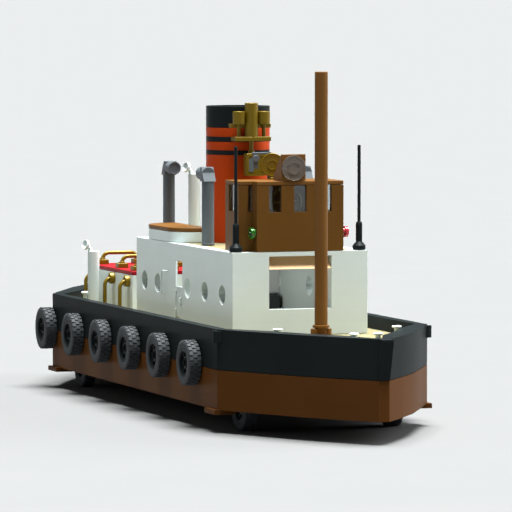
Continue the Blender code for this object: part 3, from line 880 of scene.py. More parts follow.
@dataclass
class Tyres:
    """The small rubber tyres: four to roll on, and twelve hung along the sides as fenders."""

    radius: float = 0.0164
    width: float = 0.0100
    bore: float = 0.0100
    tread: float = 0.0006
    rows: int = 3
    blocks: int = 26
    spokes: int = 6
    hang: float = 0.11  # how far each fender is turned from the one before it, in radians

    def build(self) -> None:
        """Builds one tyre and one wheel disc, and copies them to every place."""
        tyre, disc = self.tyre(), self.disc()
        for side in Side:
            outward = Matrix.Rotation(0.0 if side is Side.STARBOARD else pi, 4, "Z")
            for number in range(1, 7):
                node = f"fender_{side.word}_{number}"
                low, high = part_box(node)
                hang = outward @ Matrix.Rotation(self.hang * number, 4, "Y")
                place = Matrix.Translation((low + high) / 2) @ hang
                dress(copy_of(tyre, f"fender_tyre_{side.word}_{number}", place), RUBBER, stands_for=[node])
                dress(copy_of(disc, f"fender_disc_{side.word}_{number}", place), BLACK)
            for end in End:
                node = f"tyre_{end.word}_{side.word}"
                low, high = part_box(node)
                place = Matrix.Translation((low + high) / 2) @ outward
                body = f"wheels_{end.word}"
                dress(copy_of(tyre, f"road_tyre_{end.word}_{side.word}", place), RUBBER, body, [node])
                dress(copy_of(disc, f"road_disc_{end.word}_{side.word}", place), BLACK, body)
        for start in (tyre, disc):
            bpy.data.objects.remove(start)

    def tyre(self) -> Object:
        """One tyre about the Y axis: a round-shouldered carcass with staggered rows of tread blocks.

        Returns:
            The tyre.
        """
        half, floor = self.width / 2, self.radius - self.tread
        wall = half * 0.94
        outline = [(self.bore, half * 0.80), (self.bore + 0.0006, half * 0.92), (floor - 0.0024, wall)]
        outline += [(floor - 0.0012 + r, z) for z, r in arc((wall - 0.0012, 0.0), 0.0012, 0.0, pi / 2, 3)]
        outline += [(r, -z) for r, z in reversed(outline)]
        carcass = lathe("tyre", outline, (0, 0, 0), (0, 1, 0), steps=52)
        pieces = [carcass]
        pitch = 2 * pi / self.blocks
        across = self.width * 0.90 / self.rows
        first = self.tread_block(floor, across * 0.90, pitch * floor * 0.80)
        for row in range(self.rows):
            shift = (row - (self.rows - 1) / 2) * across
            for step in range(self.blocks):
                turn = Matrix.Rotation((step + row / 2) * pitch, 4, "Y")
                pieces.append(copy_of(first, "tread", turn @ Matrix.Translation((0.0, shift, 0.0))))
        bpy.data.objects.remove(first)
        return merge("tyre", pieces)

    def tread_block(self, floor: float, across: float, along: float) -> Object:
        """One tread block on top of the tyre, narrower at its top.

        Args:
            floor: The radius that it stands on.
            across: Its size along the axle.
            along: Its size along the ground.

        Returns:
            The block.
        """
        low = (-along / 2, -across / 2, floor - self.tread)
        made = block("tread", low, (along / 2, across / 2, self.radius), edge=0.0)
        with edit(made):
            pick(made, lambda middle, normal: normal.z > FLAT)
            bpy.ops.transform.resize(value=(0.82, 0.86, 1.0), center_override=(0.0, 0.0, self.radius))
        return made

    def disc(self) -> Object:
        """One wheel disc that faces starboard: a rim, six openings round a hub, and a round bore.

        Returns:
            The disc.
        """
        rim, plate, hub = self.bore - GAP / 2, self.bore - 0.0016, 0.0034
        face = -self.width * 0.22
        outline = [(rim, -self.width * 0.44), (rim, self.width * 0.40), (plate, self.width * 0.40)]
        outline += [(plate, -self.width * 0.40), (rim - 0.0006, -self.width * 0.44)]
        ring = lathe("disc", outline, (0, 0, 0), (0, 1, 0))
        web = lathe(
            "web",
            [(r, face) for r in (hub - 0.0008, hub + 0.0010, plate - 0.0010, plate + GAP)],
            (0, 0, 0),
            (0, 1, 0),
            steps=6 * self.spokes,
            closed=False,
        )

        def in_opening(middle: Vector, normal: Vector) -> bool:
            """Says whether a face of the web lies in an opening between two spokes.

            Args:
                middle: The face's middle.
                normal: Its normal, which makes no difference.

            Returns:
                Whether it does.
            """
            out = Vector((middle.x, middle.z))
            sector = (out.angle_signed(Vector((1.0, 0.0))) / (2 * pi) * self.spokes) % 1.0
            return hub + 0.0010 < out.length < plate - 0.0010 and 0.25 < sector < 0.95

        with edit(web):
            pick(web, in_opening)
            bpy.ops.mesh.delete(type="FACE")
        alone(web)
        thick = web.modifiers.new("Plate", "SOLIDIFY")
        thick.thickness = 0.0012
        thick.offset = 0.0
        bpy.ops.object.modifier_apply(modifier=thick.name)
        bore = 0.0026
        boss = [(bore, face - 0.0012), (hub - 0.0004, face - 0.0012), (hub, face - 0.0008)]
        boss += [(hub, 0.0), (bore, 0.0)]
        return merge("disc", [ring, web, lathe("boss", boss, (0, 0, 0), (0, 1, 0), steps=24)])


@dataclass
class RunningGear:
    """The axles, with their cross-shaped ends, and the mounts that carry them under the hull."""

    arm: float = 0.0048
    rib: float = 0.0017
    reach: float = 0.0600

    def build(self) -> None:
        """Builds both axles and both mounts."""
        for end in End:
            node = f"axle_{end.word}"
            low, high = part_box(node)
            middle = (low + high) / 2
            ribs = []
            for width, height in ((self.arm, self.rib), (self.rib, self.arm)):
                size = Vector((width / 2, self.reach, height / 2))
                ribs.append(block("rib", middle - size, middle + size, 0.0002))
            ribs += [
                drum("sleeve", 0.0030, (middle.x, y - 0.0021, middle.z), (middle.x, y + 0.0021, middle.z))
                for y in (-0.0485, 0.0485)
            ]
            dress(merge(f"cross_axle_{end.word}", ribs), BLACK, f"wheels_{end.word}", [node])
            mount = f"axle_mount_{end.word}"
            dress(recast(mount), BROWN, stands_for=[mount])


@dataclass
class Deckhouse:
    """The white deckhouse with its roof, brow and half door, and what shows through its openings."""

    rail_radius: float = 0.0006
    rail_height: float = 0.0170
    handle: float = 0.0007
    rail_at: Pair = (-0.0030, 0.0866)  # x and z of its foot
    rail_stand: float = 0.0022
    panel: float = 0.0015
    panel_reach: float = 0.0220
    cylinders: int = 3
    frame_width: float = 0.0014
    knuckle: float = 0.0009
    knuckle_at: Pair = (0.0011, -0.0004)  # from the pivot, so that it clears the wall as the door swings

    def build(self) -> None:
        """Builds the deckhouse."""
        walls = self.thin_doorway(recast("house_walls"))
        dress(walls, WHITE_BRICKS, stands_for=["house_walls"])
        dress(recast("house_roof", 0.0002), CREAM, stands_for=["house_roof"])
        # The brow's pale tan is painted light on its sloping face, not its own colour
        dress(recast("window_brow", 0.0002), PAINTED_LIT_BROWN, stands_for=["window_brow"])
        self.engine()
        self.door()
        self.grab_rail()

    def thin_doorway(self, walls: Object) -> Object:
        """Cuts the inner side of the wall away beside the doorway, where only a thin panel is left.

        Args:
            walls: The deckhouse's walls.

        Returns:
            The same walls.
        """
        low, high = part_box("door_starboard")
        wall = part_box("house_walls")[0].y
        start = (low.x - self.panel_reach, wall + self.panel, low.z)
        cutter = block("doorway_cutter", start, (high.x, wall + 1.5 * STUD, DECK + 5 * BRICK), 0.0)
        boolean = walls.modifiers.new("doorway", "BOOLEAN")
        boolean.operation = "DIFFERENCE"
        boolean.object = cutter
        alone(walls)
        bpy.ops.object.modifier_apply(modifier=boolean.name)
        bpy.data.objects.remove(cutter)
        return walls

    def engine(self) -> None:
        """The black engine block, with cylinder covers, and the grey cabinet on top of it."""
        low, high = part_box("engine_block")
        pieces = [block("engine", low, (high.x, high.y, high.z - 0.0010))]
        for number in range(self.cylinders):
            y = low.y + (high.y - low.y) * (number + 0.5) / self.cylinders
            x = high.x - STUD / 2
            pieces.append(drum("cover", 0.0026, (x, y, high.z - 0.0020), (x, y, high.z)))
        dress(merge("engine", pieces), ENGINE_BLACK, stands_for=["engine_block"])
        low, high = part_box("cabinet")
        cabinet = block("engine_cabinet", low, high)
        with edit(cabinet):
            pick(cabinet, lambda middle, normal: normal.x > FLAT and middle.x > high.x - MM)
            bpy.ops.mesh.inset(thickness=0.0016)
            bpy.ops.mesh.extrude_region_move(TRANSFORM_OT_translate={"value": (-0.0004, 0.0, 0.0)})
        dress(cabinet, LIGHT_GREY, stands_for=["cabinet"])

    def door(self) -> None:
        """The half door to starboard: a framed leaf with hinge knuckles and a handle."""
        low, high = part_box("door_starboard")
        leaf = block("half_door", low, high, 0.0003)
        with edit(leaf):
            pick(leaf, lambda middle, normal: abs(normal.y) > FLAT)
            bpy.ops.mesh.inset(thickness=self.frame_width, use_individual=True)
            bpy.ops.transform.resize(value=(1.0, 0.82, 1.0), center_override=(low + high) / 2)
        x, z = high.x - 0.0030, (low.z + high.z) / 2
        root, out = low.y + GAP, low.y - 0.0012
        grip = [(x, root, z - 0.0030), (x, out, z - 0.0024), (x, out, z + 0.0024), (x, root, z + 0.0030)]
        pieces = [leaf, tube("handle", self.handle, grip)]
        pin = (low.x + self.knuckle_at[0], low.y + self.knuckle_at[1])
        for level in (low.z + 0.0040, high.z - 0.0040):
            ends = ((*pin, level - 0.0016), (*pin, level + 0.0016))
            pieces.append(drum("knuckle", self.knuckle, *ends, edge=0.0002))
        dress(merge(leaf.name, pieces), WHITE, "door_starboard", ["door_starboard"])

    def grab_rail(self) -> None:
        """The white rail aft of the doorway, whose top bends forward."""
        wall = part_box("house_walls")[0].y
        root, out = wall + GAP, wall - self.rail_stand
        x, foot = self.rail_at
        top = foot + self.rail_height
        path = [(x, root, foot), (x, out, foot), (x, out, top - 0.0030), (x + 0.0010, out, top - 0.0008)]
        path += [(x + 0.0030, out, top), (x + 0.0080, out, top), (x + 0.0080, root, top)]
        dress(tube("grab_rail", self.rail_radius, path), WHITE)


@dataclass
class Wheelhouse:
    """The brown wheelhouse with its clear panes, steering wheel, side lights and antennas."""

    pane: float = 0.0010
    sill: float = ROOF + 3 * BRICK
    head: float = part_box("wheelhouse_walls")[1].z
    wall: float = 0.0040
    bay: float = 0.0100
    front_panes: tuple[float, ...] = (-0.0193, 0.0, 0.0193)
    front_half: float = 0.0046
    side_pane: Pair = (0.0319, 0.0191)  # its ends, aft of the wheelhouse's front
    wing_pane: Pair = (-0.0365, -0.0337)
    helm_rim: float = 0.0122
    helm_tyre: float = 0.0011

    def build(self) -> None:
        """Builds the wheelhouse."""
        dress(recast("wheelhouse_walls"), BROWN_BRICKS, stands_for=["wheelhouse_walls"])
        dress(recast("wheelhouse_roof"), BROWN, stands_for=["wheelhouse_roof"])
        self.panes()
        self.helm()
        for side, finish in ((Side.STARBOARD, GREEN_LENS), (Side.PORT, RED_LENS)):
            self.side_light(side, finish)
            self.antenna(side)

    def panes(self) -> None:
        """A clear pane in each light, in the middle of the wall's thickness."""
        low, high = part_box("wheelhouse_walls")
        half, inset = self.pane / 2, self.wall / 2
        middle, step = high.x - inset, high.x - self.bay - inset
        reach, (aft, fore) = self.front_half, self.side_pane
        panes = [((middle - half, y - reach), (middle + half, y + reach)) for y in self.front_panes]
        for y in (low.y + inset, high.y - inset):
            panes.append(((high.x - aft, y - half), (high.x - fore, y + half)))
        panes.append(((step - half, self.wing_pane[0]), (step + half, self.wing_pane[1])))
        made = [block("pane", (*a, self.sill + GAP), (*b, self.head), 0.0001) for a, b in panes]
        dress(merge("wheelhouse_panes", made), GLASS)

    def helm(self) -> None:
        """The steering wheel on its column, with six spokes."""
        low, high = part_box("helm")
        middle = Vector((high.x - 0.0020, (low.y + high.y) / 2, high.z - self.helm_rim))
        tyre = self.helm_tyre
        rim = [(self.helm_rim - tyre + r, z) for r, z in arc((0.0, 0.0), tyre, 0.0, 2 * pi * 11 / 12, 11)]
        pieces = [lathe("rim", rim, middle, (1, 0, 0), steps=48)]
        for spoke in range(3):
            out = Vector((0.0, cos(spoke * pi / 3), sin(spoke * pi / 3))) * (self.helm_rim - tyre)
            pieces.append(drum("spoke", 0.0008, middle - out, middle + out, sides=12, edge=0.0))
        hub = middle + Vector((0.0020, 0.0, 0.0))
        pieces.append(drum("hub", 0.0030, middle - Vector((0.0050, 0.0, 0.0)), hub))
        foot = Vector((middle.x - 0.0036, middle.y, ROOF + GAP))
        pieces.append(drum("column", 0.0024, foot, (foot.x, foot.y, middle.z)))
        pieces.append(drum("foot", 0.0038, foot, foot + Vector((0.0, 0.0, 0.0020))))
        dress(merge("steering_wheel", pieces), GOLD, stands_for=["helm"])

    def side_light(self, side: Side, finish: Clear) -> None:
        """One round side light: a tinted cup with a raised ring, on a post.

        Args:
            side: The side that it shines from.
            finish: Its tint.
        """
        node = f"nav_light_{side.word}"
        low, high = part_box(node)
        middle = (low + high) / 2
        deep, radius = high.y - low.y, (high.z - low.z) / 2
        root = Vector((middle.x, low.y if side is Side.PORT else high.y, middle.z))
        outline = [(0.0, 0.0), (radius * 0.72, 0.0), (radius * 0.72, deep * 0.25), (radius, deep * 0.32)]
        outline += [(radius, deep * 0.92), (radius * 0.90, deep), (radius * 0.62, deep)]
        outline += [(radius * 0.58, deep * 0.80), (radius * 0.34, deep * 0.80)]
        outline += [(radius * 0.28, deep), (0.0, deep)]
        made = lathe(f"side_light_{side.word}", outline, root, (0, side.value, 0), steps=32, closed=False)
        dress(made, finish, stands_for=[node])

    def antenna(self, side: Side) -> None:
        """One whip antenna, turned in one piece.

        Args:
            side: The side that it stands on.
        """
        node = f"antenna_{side.word}"
        low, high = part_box(node)
        x, y = (low.x + high.x) / 2, (low.y + high.y) / 2
        base, grip, whip = (high.x - low.x) / 2, 0.0024, 0.0012
        levels = [
            (0.0, 0.0),
            (base - 0.0004, 0.0),
            (base, 0.0004),
            (base, 0.0031),
            (grip + 0.0002, 0.0056),
            (grip - 0.0002, 0.0062),
            (grip, 0.0070),
            (grip, 0.0186),
            (grip - 0.0003, 0.0190),
            (grip, 0.0194),
            (grip - 0.0005, 0.0203),
            (whip, 0.0206),
            (whip, high.z - low.z - 0.0006),
            (whip - 0.0004, high.z - low.z),
            (0.0, high.z - low.z),
        ]
        made = lathe(f"whip_{node}", levels, (x, y, low.z), steps=24, closed=False)
        dress(made, BLACK, stands_for=[node], smooth=EDGE_ANGLE)


@dataclass
class Lamps:
    """The box lamp and the round search lamp on the wheelhouse's roof, with the bracket behind them."""

    face_radius: float = 0.0092
    search_radius: float = 0.0087
    search_at: Pair = (0.1240, -0.0104)
    search_height: float = 0.0104
    turn: float = radians(18)
    bracket_x: Pair = (0.1166, 0.1186)
    bracket_height: float = 0.0195
    eye: Pair = (-0.0211, 0.0046)  # its y, and how far it hangs below the bar's top

    def build(self) -> None:
        """Builds both lamps and the bracket."""
        self.box_lamp()
        self.search_lamp()
        self.bracket()

    def box_lamp(self) -> None:
        """A brown wedge whose upright face carries a clear round dish."""
        low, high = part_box("lamp_box")
        face = high.x - 0.0010
        housing = block("lamp_housing", low, (face, high.y, high.z), 0.0)
        ridge = Vector((face - 0.0015, 0.0, high.z))
        slope = Vector((low.x, 0.0, low.z + PLATE / 2)) - ridge
        with edit(housing, "VERT"):
            bpy.ops.mesh.select_all(action="SELECT")
            across = Vector((slope.z, 0.0, -slope.x)).normalized()
            bpy.ops.mesh.bisect(plane_co=ridge, plane_no=across, clear_outer=True, use_fill=True)
        dress(round_edges(housing), BROWN, stands_for=["lamp_box"])
        radius = self.face_radius
        middle = (face, (low.y + high.y) / 2, low.z + radius)
        outline = [(0.0, -0.0004), (radius, -0.0004), (radius, 0.0008), (radius - 0.0004, 0.0010)]
        outline += [(radius - 0.0008, 0.0006), (radius * 0.52, 0.0005), (radius * 0.50, 0.0009)]
        outline += [(radius * 0.44, 0.0009), (radius * 0.42, 0.0005), (0.0, 0.0005)]
        dress(lathe("lamp_dish", outline, middle, (1, 0, 0), steps=48, closed=False), FROSTED)

    def search_lamp(self) -> None:
        """A gold dish on a bowl and a stand, turned a little to starboard."""
        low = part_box("search_lamp")[0]
        facing = Vector((cos(self.turn), -sin(self.turn), 0.0))
        front = Vector((*self.search_at, low.z + self.search_height))
        radius = self.search_radius
        outline = [(0.0, -0.0042), (0.0035, -0.0042), (0.0080, -0.0011), (radius, -0.0009), (radius, -0.0003)]
        outline += [(radius - 0.0003, 0.0), (radius - 0.0009, 0.0), (radius - 0.0013, -0.0004)]
        outline += [(0.0040, -0.0005), (0.0038, -0.0001), (0.0031, -0.0001)]
        outline += [(0.0029, -0.0005), (0.0, -0.0005)]
        pieces = [lathe("dish", outline, front, facing, steps=40, closed=False)]
        stand = front - 0.0030 * facing
        pieces.append(drum("stand", 0.0020, (stand.x, stand.y, low.z), (stand.x, stand.y, front.z - 0.0030)))
        pieces.append(drum("foot", 0.0034, (stand.x, stand.y, low.z), (stand.x, stand.y, low.z + 0.0012)))
        dress(merge("search_lamp_dish", pieces), GOLD, stands_for=["search_lamp"])

    def bracket(self) -> None:
        """The dark grey arm behind the search lamp, which hangs from a bar on a post."""
        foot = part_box("search_lamp")[0].z
        (near, far), top = self.bracket_x, foot + self.bracket_height
        eye_y, eye_z = self.eye[0], top - self.eye[1]
        pieces = [
            block("post", (near, -0.0120, foot), (far, -0.0090, top)),
            block("bar", (near, -0.0238, top - 0.0016), (far, -0.0090, top)),
            block("arm", (near, -0.0228, top - 0.0120), (far, -0.0194, top - 0.0008)),
            drum("eye", 0.0026, (near, eye_y, eye_z), (far + 0.0008, eye_y, eye_z), sides=24),
        ]
        dress(merge("lamp_bracket", pieces), GREY)


@dataclass
class Funnel:
    """The funnel of orange and black rings, and the gold whistles on its front."""

    wall: float = 0.0040
    bands: tuple[float, ...] = (0.1255, 0.1913, 0.1947, 0.2011, 0.2048, 0.2116, 0.2276)  # orange first
    seam: float = 0.00004
    soft: float = 0.0002
    whistles_out: float = 0.0070
    shelf_up: float = 0.0258
    whistle_apart: float = 0.0098

    def build(self) -> None:
        """Builds the funnel and the whistles."""
        low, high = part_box("funnel")
        radius, inner = (high.x - low.x) / 2, (high.x - low.x) / 2 - self.wall
        for number, (bottom, top) in enumerate(pairwise(self.bands), 1):
            top -= self.seam if top < high.z else 0.0
            soft = self.soft
            outline = [(inner, bottom), (radius - soft, bottom), (radius, bottom + soft)]
            outline += [(radius, top - soft), (radius - soft, top), (inner, top)]
            ring = lathe(f"funnel_ring_{number}", outline, ((low.x + high.x) / 2, 0, 0), steps=64)
            finish = ORANGE if number % 2 else BLACK
            dress(ring, finish, stands_for=["funnel"] if number == 1 else [])
        self.whistles(high.x)

    def whistles(self, front: float) -> None:
        """A housing with a dark panel, a pipe, and three whistles on a shelf.

        Args:
            front: Where the funnel's foremost point is.
        """
        low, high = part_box("whistle")
        x, shelf, back = front + self.whistles_out, low.z + self.shelf_up, front + GAP
        housing = block("housing", (x - 0.0008, -0.0060, low.z), (x + 0.0070, 0.0090, low.z + 0.0166))
        with edit(housing):
            pick(housing, lambda middle, normal: normal.x > FLAT and middle.x > x + 0.0060)
            bpy.ops.mesh.inset(thickness=0.0014)
            bpy.ops.mesh.extrude_region_move(TRANSFORM_OT_translate={"value": (-0.0006, 0.0, 0.0)})
        pieces = [
            housing,
            block("neck", (back, -STUD / 2, low.z + MM), (x, STUD / 2, low.z + 15 * MM)),
            drum("pipe", 0.0015, (x, 0.0, low.z + 0.0156), (x, 0.0, shelf + 0.0010)),
            drum("union", 0.0024, (x, 0.0, low.z + 0.0164), (x, 0.0, low.z + 0.0188)),
            block("shelf", (back, -0.0140, shelf), (x + 0.0050, 0.0140, shelf + PLATE)),
            block("bracket", (back, -0.0157, shelf + 0.0098), (x - 0.0005, 0.0157, shelf + 0.0128)),
            self.whistle((x, 0.0, shelf + 0.0020), 0.0050, high.z - shelf - 0.0020),
        ]
        for y in (-self.whistle_apart, self.whistle_apart):
            pieces.append(drum("stem", 0.0015, (x, y, shelf + 0.0020), (x, y, shelf + 0.0136)))
            pieces.append(self.whistle((x, y, shelf + 0.0125), 0.0047, 0.0096))
        dress(merge("whistles", pieces), GOLD, stands_for=["whistle"])
        corners = ((x + 0.0064, -0.0058, low.z + 0.0030), (x + 0.0068, -0.0004, low.z + 0.0128))
        dress(block("whistle_panel", *corners, 0.0001), GREY)

    def whistle(self, foot: Point, radius: float, height: float) -> Object:
        """One whistle: a plain barrel with softened ends.

        Args:
            foot: Where it stands.
            radius: Its radius.
            height: How tall it is.

        Returns:
            The whistle.
        """
        lip = 0.0003
        outline = [(0.0, 0.0), (radius - lip, 0.0), (radius, lip), (radius, height - lip)]
        outline += [(radius - lip, height), (radius * 0.7, height)]
        outline += [(radius * 0.64, height - lip), (0.0, height - lip)]
        return lathe("whistle", outline, foot, steps=32, closed=False)


@dataclass
class RoofGear:
    """What stands on the deckhouse's roof behind the wheelhouse, and the vents on the aft deck."""

    pipe: float = 0.0046
    head: float = 0.0050
    cowl: float = 0.0038
    head_length: float = 0.0144
    slope_toe: float = 0.0048
    slope_fall: Pair = (0.0105, 0.0062)
    vent_heights: tuple[tuple[str, float], ...] = (("roof", 0.0482), ("deck", 0.0440))
    cowl_at: Pair = (0.0062, 0.0050)  # outwards and up from the pole's top

    def build(self) -> None:
        """Builds the lockers, the exhausts and the vents."""
        for side in Side:
            for node, finish in ((f"roof_locker_{side.word}", WHITE), (f"locker_lid_{side.word}", BROWN)):
                dress(recast(node, 0.0003), finish, stands_for=[node])
            for where, facing in (("fore", -1), ("aft", 1)):
                self.exhaust(f"exhaust_{where}_{side.word}", facing)
            for where, height in self.vent_heights:
                self.vent(f"cowl_vent_{where}_{side.word}", side, height)

    def exhaust(self, node: str, facing: int) -> None:
        """A pole whose head is round and closed at one end and has a slope over the pole.

        Args:
            node: The solid that it stands for.
            facing: The sign of x that the round end faces.
        """
        low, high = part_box(node)
        y, end = (low.y + high.y) / 2, high.x if facing > 0 else low.x
        x = end - facing * self.head_length
        axis, half, top = high.z - self.head, self.head - GAP, high.z - 2 * self.head
        head = drum("head", self.head, (x - facing * 0.0010, y, axis), (end, y, axis), edge=0.0)
        with edit(head):
            pick(head, lambda middle, normal: normal.x * facing > FLAT)
            bpy.ops.mesh.inset(thickness=0.0011)
            bpy.ops.mesh.extrude_region_move(TRANSFORM_OT_translate={"value": (-facing * 0.0006, 0.0, 0.0)})
        heel = x - facing * self.slope_toe
        ends = sorted((heel, x + facing * 0.0046))
        slope = block("slope", (ends[0], y - half, top - 0.0005), (ends[1], y + half, high.z), 0.0)
        with edit(slope, "VERT"):
            bpy.ops.mesh.select_all(action="SELECT")
            across = Vector((-facing * self.slope_fall[0], 0.0, self.slope_fall[1])).normalized()
            toe = (heel, y, top - 0.0005)
            bpy.ops.mesh.bisect(plane_co=toe, plane_no=across, clear_outer=True, use_fill=True)
        pieces = [round_edges(head, 0.0002), round_edges(slope, 0.0002)]
        pieces.append(drum("pole", self.pipe, (x, y, low.z), (x, y, top)))
        pieces.append(drum("foot", self.pipe + 0.0003, (x, y, low.z), (x, y, low.z + 0.0016)))
        dress(merge(f"{node}_pipe", pieces), GREY, stands_for=[node])

    def vent(self, node: str, side: Side, height: float) -> None:
        """A white pole with a tilted cup on top that faces outwards.

        Args:
            node: The solid that it stands for.
            side: The side that it stands on.
            height: How tall its pole is.
        """
        low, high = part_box(node)
        out = side.value
        x, y = low.x + self.pipe, (high.y - self.pipe) if out < 0 else (low.y + self.pipe)
        top = low.z + height - GAP
        facing = Vector((0.30, out * 0.90, 0.30)).normalized()
        middle = Vector((x, y + out * self.cowl_at[0], top + self.cowl_at[1]))
        radius = self.cowl
        outline = [(0.0, -0.0021), (0.0016, -0.0020), (radius - 0.0006, -0.0013), (radius, -0.0006)]
        outline += [(radius, 0.0010), (radius - 0.0003, 0.0015), (radius - 0.0009, 0.0013)]
        outline += [(0.0018, -0.0004), (0.0, -0.0006)]
        pieces = [
            lathe("cup", outline, middle, facing, steps=32, closed=False),
            drum("pole", self.pipe, (x, y, low.z), (x, y, top)),
            drum("neck", 0.0016, (x, y + out * 0.0015, top - 0.0010), middle - 0.0016 * facing, edge=0.0),
        ]
        dress(merge(f"{node}_pole", pieces), WHITE, stands_for=[node])


@dataclass
class Casing:
    """The engine casing on the aft deck: white walls, a red top, and gold pipework."""

    half: float = 5.5 * STUD
    pipes_x: tuple[float, ...] = (-0.207, -0.156, -0.117)
    bore: float = 0.0015
    hoop: tuple[float, float] = (0.0085, 0.0375)
    bend: float = 0.0055
    crown: float = 0.0090
    block_size: tuple[float, float, float] = (0.0090, 0.0080, 0.0037)
    steam_y: float = 0.0515
    steam_up: float = 0.0240
    valve_rim: float = 0.0044

    def build(self) -> None:
        """Builds the casing and its pipework."""
        low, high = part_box("engine_casing")
        half = self.half
        walls = block("casing_walls", (low.x, -half, low.z), (high.x, half, high.z))
        dress(walls, WHITE_BRICKS, stands_for=["engine_casing"])
        top_low, top_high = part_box("casing_top")
        slab = top_high.z - self.crown - self.bore
        red = block("casing_cover", (top_low.x, -half, top_low.z), (top_high.x, half, slab))
        dress(red, RED, stands_for=["casing_top"])
        for number, x in enumerate(self.pipes_x, 1):
            for side in Side:
                self.hoop_pipe(f"hoop_pipe_{side.word}_{number}", x, side, slab)
                self.steam_pipe(f"steam_pipe_{side.word}_{number}", x, side, low.z)

    def hoop_pipe(self, name: str, x: float, side: Side, slab: float) -> None:
        """One gold hoop over the casing's top, with a clamp block at each foot.

        Args:
            name: The piece's name.
            x: Where it stands.
            side: The side that it stands on.
            slab: The level of the casing's top.
        """
        near, far = self.hoop
        crown = slab + self.crown
        path = [(far, slab)] + arc((far - self.bend, crown - self.bend), self.bend, 0.0, pi / 2)
        path += arc((near + self.bend, crown - self.bend), self.bend, pi / 2, pi) + [(near, slab)]
        pieces = [tube("hoop", self.bore, [(x, side.value * y, z) for y, z in path], sides=4)]
        length, width, height = self.block_size
        for y in (side.value * near, side.value * far):
            low = (x - length / 2, y - width / 2, slab)
            pieces.append(block("clamp", low, (x + length / 2, y + width / 2, slab + height)))
            top = slab + height
            pieces.append(drum("nut", 0.0024, (x, y, top), (x, y, top + 0.0012), sides=24))
        dress(merge(name, pieces), GOLD)

    def steam_pipe(self, name: str, x: float, side: Side, deck: float) -> None:
        """One gold pipe from the deck into a round valve on the casing's wall.

        Args:
            name: The piece's name.
            x: Where it stands.
            side: The side that it stands on.
            deck: The level that it comes out of.
        """
        out = side.value
        level = DECK + self.steam_up
        bend = arc((self.steam_y - self.bend, level - self.bend), self.bend, 0.0, pi / 2)
        path = [(self.steam_y, deck)] + bend + [(self.half, level)]
        pieces = [tube("pipe", self.bore, [(x, out * y, z) for y, z in path], sides=4)]
        rim = self.valve_rim
        valve = [(0.0, 0.0), (rim, 0.0), (rim, 0.0034), (rim - 0.0006, STUD / 2)]
        valve += [(0.0026, STUD / 2), (0.0022, 0.0032), (0.0, 0.0032)]
        pieces.append(lathe("valve", valve, (x, out * self.half, level), (0, out, 0), 32, False))
        foot = (x, out * self.steam_y)
        pieces.append(drum("flange", 0.0028, (*foot, deck), (*foot, deck + 0.0012), sides=24))
        dress(merge(name, pieces), GOLD)


@dataclass
class Mast:
    """The tall brown mast on its foot, with a collar and two knobs."""

    radius: float = 0.0047
    collar: float = 0.0061
    foot_half: float = 0.0075
    foot_top: float = 0.0036

    def build(self) -> None:
        """Builds the mast."""
        low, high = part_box("mast")
        x = (low.x + high.x) / 2
        tall, soft = high.z - DECK, 0.0005
        collar, sole = self.collar, self.foot_top
        pole = self.radius
        outline = [(0.0, sole), (pole, sole), (pole, 0.0085), (collar, 0.0088), (collar, 0.0103)]
        outline += [(pole, 0.0106), (pole, tall - soft), (pole - soft, tall), (0.0, tall)]
        pieces = [lathe("pole", outline, (x, 0.0, DECK), steps=32, closed=False)]
        half = self.foot_half
        pieces.append(block("foot", (x - half, -half, low.z), (x + half, half, DECK + sole)))
        for y in (-0.0042, 0.0042):
            pieces.append(drum("knob", 0.0036, (x, y, DECK + 0.0030), (x, y, DECK + STUD)))
        dress(merge("mast_pole", pieces), BROWN, stands_for=["mast"])


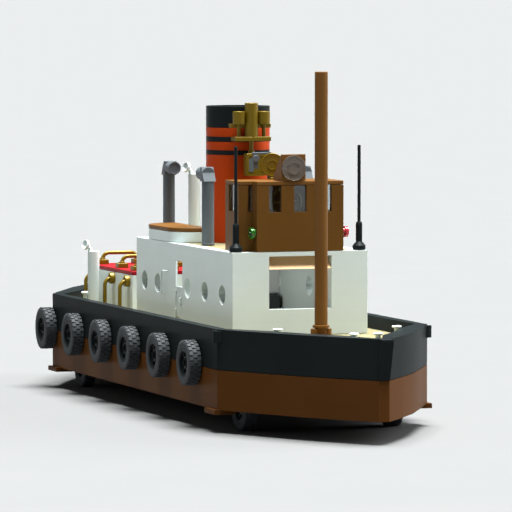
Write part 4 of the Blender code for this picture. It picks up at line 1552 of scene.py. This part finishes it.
@dataclass
class Studio:
    """A plain pale floor, soft lamps, and the camera. All lamps but the cabin's are far off.

    A wide lamp hangs overhead, one stands to port and a weak one to starboard, and a small one lights
    the cabin.
    """

    camera_place: Point = (3.3278, -1.1346, 0.3179)
    camera_aim: Point = (0.1871, -0.0449, 0.1246)
    lens: float = 327.2
    top_from: Point = (0.02, 0.10, 0.99)
    top_strength: float = 17.5
    port_from: Point = (-0.03, 0.90, 0.43)
    port_strength: float = 3.3
    spread: float = radians(40)
    floor_reach: float = 200.0
    fill: float = 0.10
    side_from: Point = (0.05, -0.94, 0.34)
    side_strength: float = 0.30
    cabin_at: Point = (0.0400, -0.0300, 0.1050)
    cabin_strength: float = 0.075
    cabin_radius: float = 0.02
    paper: tuple[Point, Point] = ((0.134, 0.138, 0.138, 1.0), (0.140, 0.143, 0.143, 1.0))

    def build(self) -> None:
        """Sets the floor, the lamps, the fill and the camera."""
        scene = bpy.context.scene
        scene.view_settings.view_transform = "Standard"
        alone()
        bpy.ops.mesh.primitive_plane_add(size=self.floor_reach)
        floor = bpy.context.active_object
        floor.name = "floor"
        floor.data.materials.append(self.floor_paper())
        self.lamp("top_lamp", self.top_from, self.top_strength)
        self.lamp("port_lamp", self.port_from, self.port_strength)
        self.lamp("starboard_lamp", self.side_from, self.side_strength)
        cabin = bpy.data.lights.new("cabin_lamp", "POINT")
        cabin.energy = self.cabin_strength
        cabin.shadow_soft_size = self.cabin_radius
        holder = bpy.data.objects.new("cabin_lamp", cabin)
        holder.location = self.cabin_at
        scene.collection.objects.link(holder)
        world = bpy.data.worlds.new("studio_fill")
        world.use_nodes = True
        sky = world.node_tree.nodes["Background"]
        sky.inputs["Color"].default_value = (0.95, 1.0, 1.0, 1.0)
        sky.inputs["Strength"].default_value = self.fill
        scene.world = world
        camera = bpy.data.cameras.new("camera")
        camera.lens = self.lens
        camera.sensor_width = 36.0
        camera.clip_end = 400.0
        eye = bpy.data.objects.new("camera", camera)
        eye.location = self.camera_place
        sight = Vector(self.camera_aim) - Vector(self.camera_place)
        eye.rotation_euler = sight.to_track_quat("-Z", "Y").to_euler()
        scene.collection.objects.link(eye)
        scene.camera = eye

    def lamp(self, name: str, comes_from: Point, strength: float) -> None:
        """One soft, far-off lamp.

        Args:
            name: Its name.
            comes_from: The direction that its light comes from.
            strength: Its strength.
        """
        light = bpy.data.lights.new(name, "SUN")
        light.energy = strength
        light.angle = self.spread
        holder = bpy.data.objects.new(name, light)
        holder.rotation_euler = Vector(comes_from).to_track_quat("Z", "Y").to_euler()
        bpy.context.scene.collection.objects.link(holder)

    def floor_paper(self) -> Material:
        """Matt background paper, even but for a faint mottle.

        Returns:
            The material.
        """
        made = bpy.data.materials.new("background_paper")
        made.use_nodes = True
        tree = made.node_tree
        shader = tree.nodes["Principled BSDF"]
        shader.inputs["Roughness"].default_value = 1.0
        shader.inputs["Specular IOR Level"].default_value = 0.0
        place = add_node(tree, "ShaderNodeTexCoord").outputs["Object"]
        mottle = add_node(tree, "ShaderNodeTexNoise", {"Scale": 1 / (80 * MM)}, {"Vector": place})
        colour = add_node(
            tree,
            "ShaderNodeMix",
            {"data_type": "RGBA", 6: self.paper[0], 7: self.paper[1]},
            {0: mottle.outputs["Fac"]},
        )
        tree.links.new(colour.outputs[2], shader.inputs["Base Color"])
        return made


def main() -> None:
    """Builds the tugboat's looks, piece by piece."""
    logging.basicConfig(level=logging.INFO, format="%(name)s %(message)s")
    hull = (Hull, Tyres, RunningGear)
    above = (Deckhouse, Wheelhouse, Lamps, Funnel, RoofGear, Casing, Mast)
    for part in (Studio, *hull, *above):
        log.info("building %s", part.__name__)
        part().build()


if __name__ == "__main__":
    main()
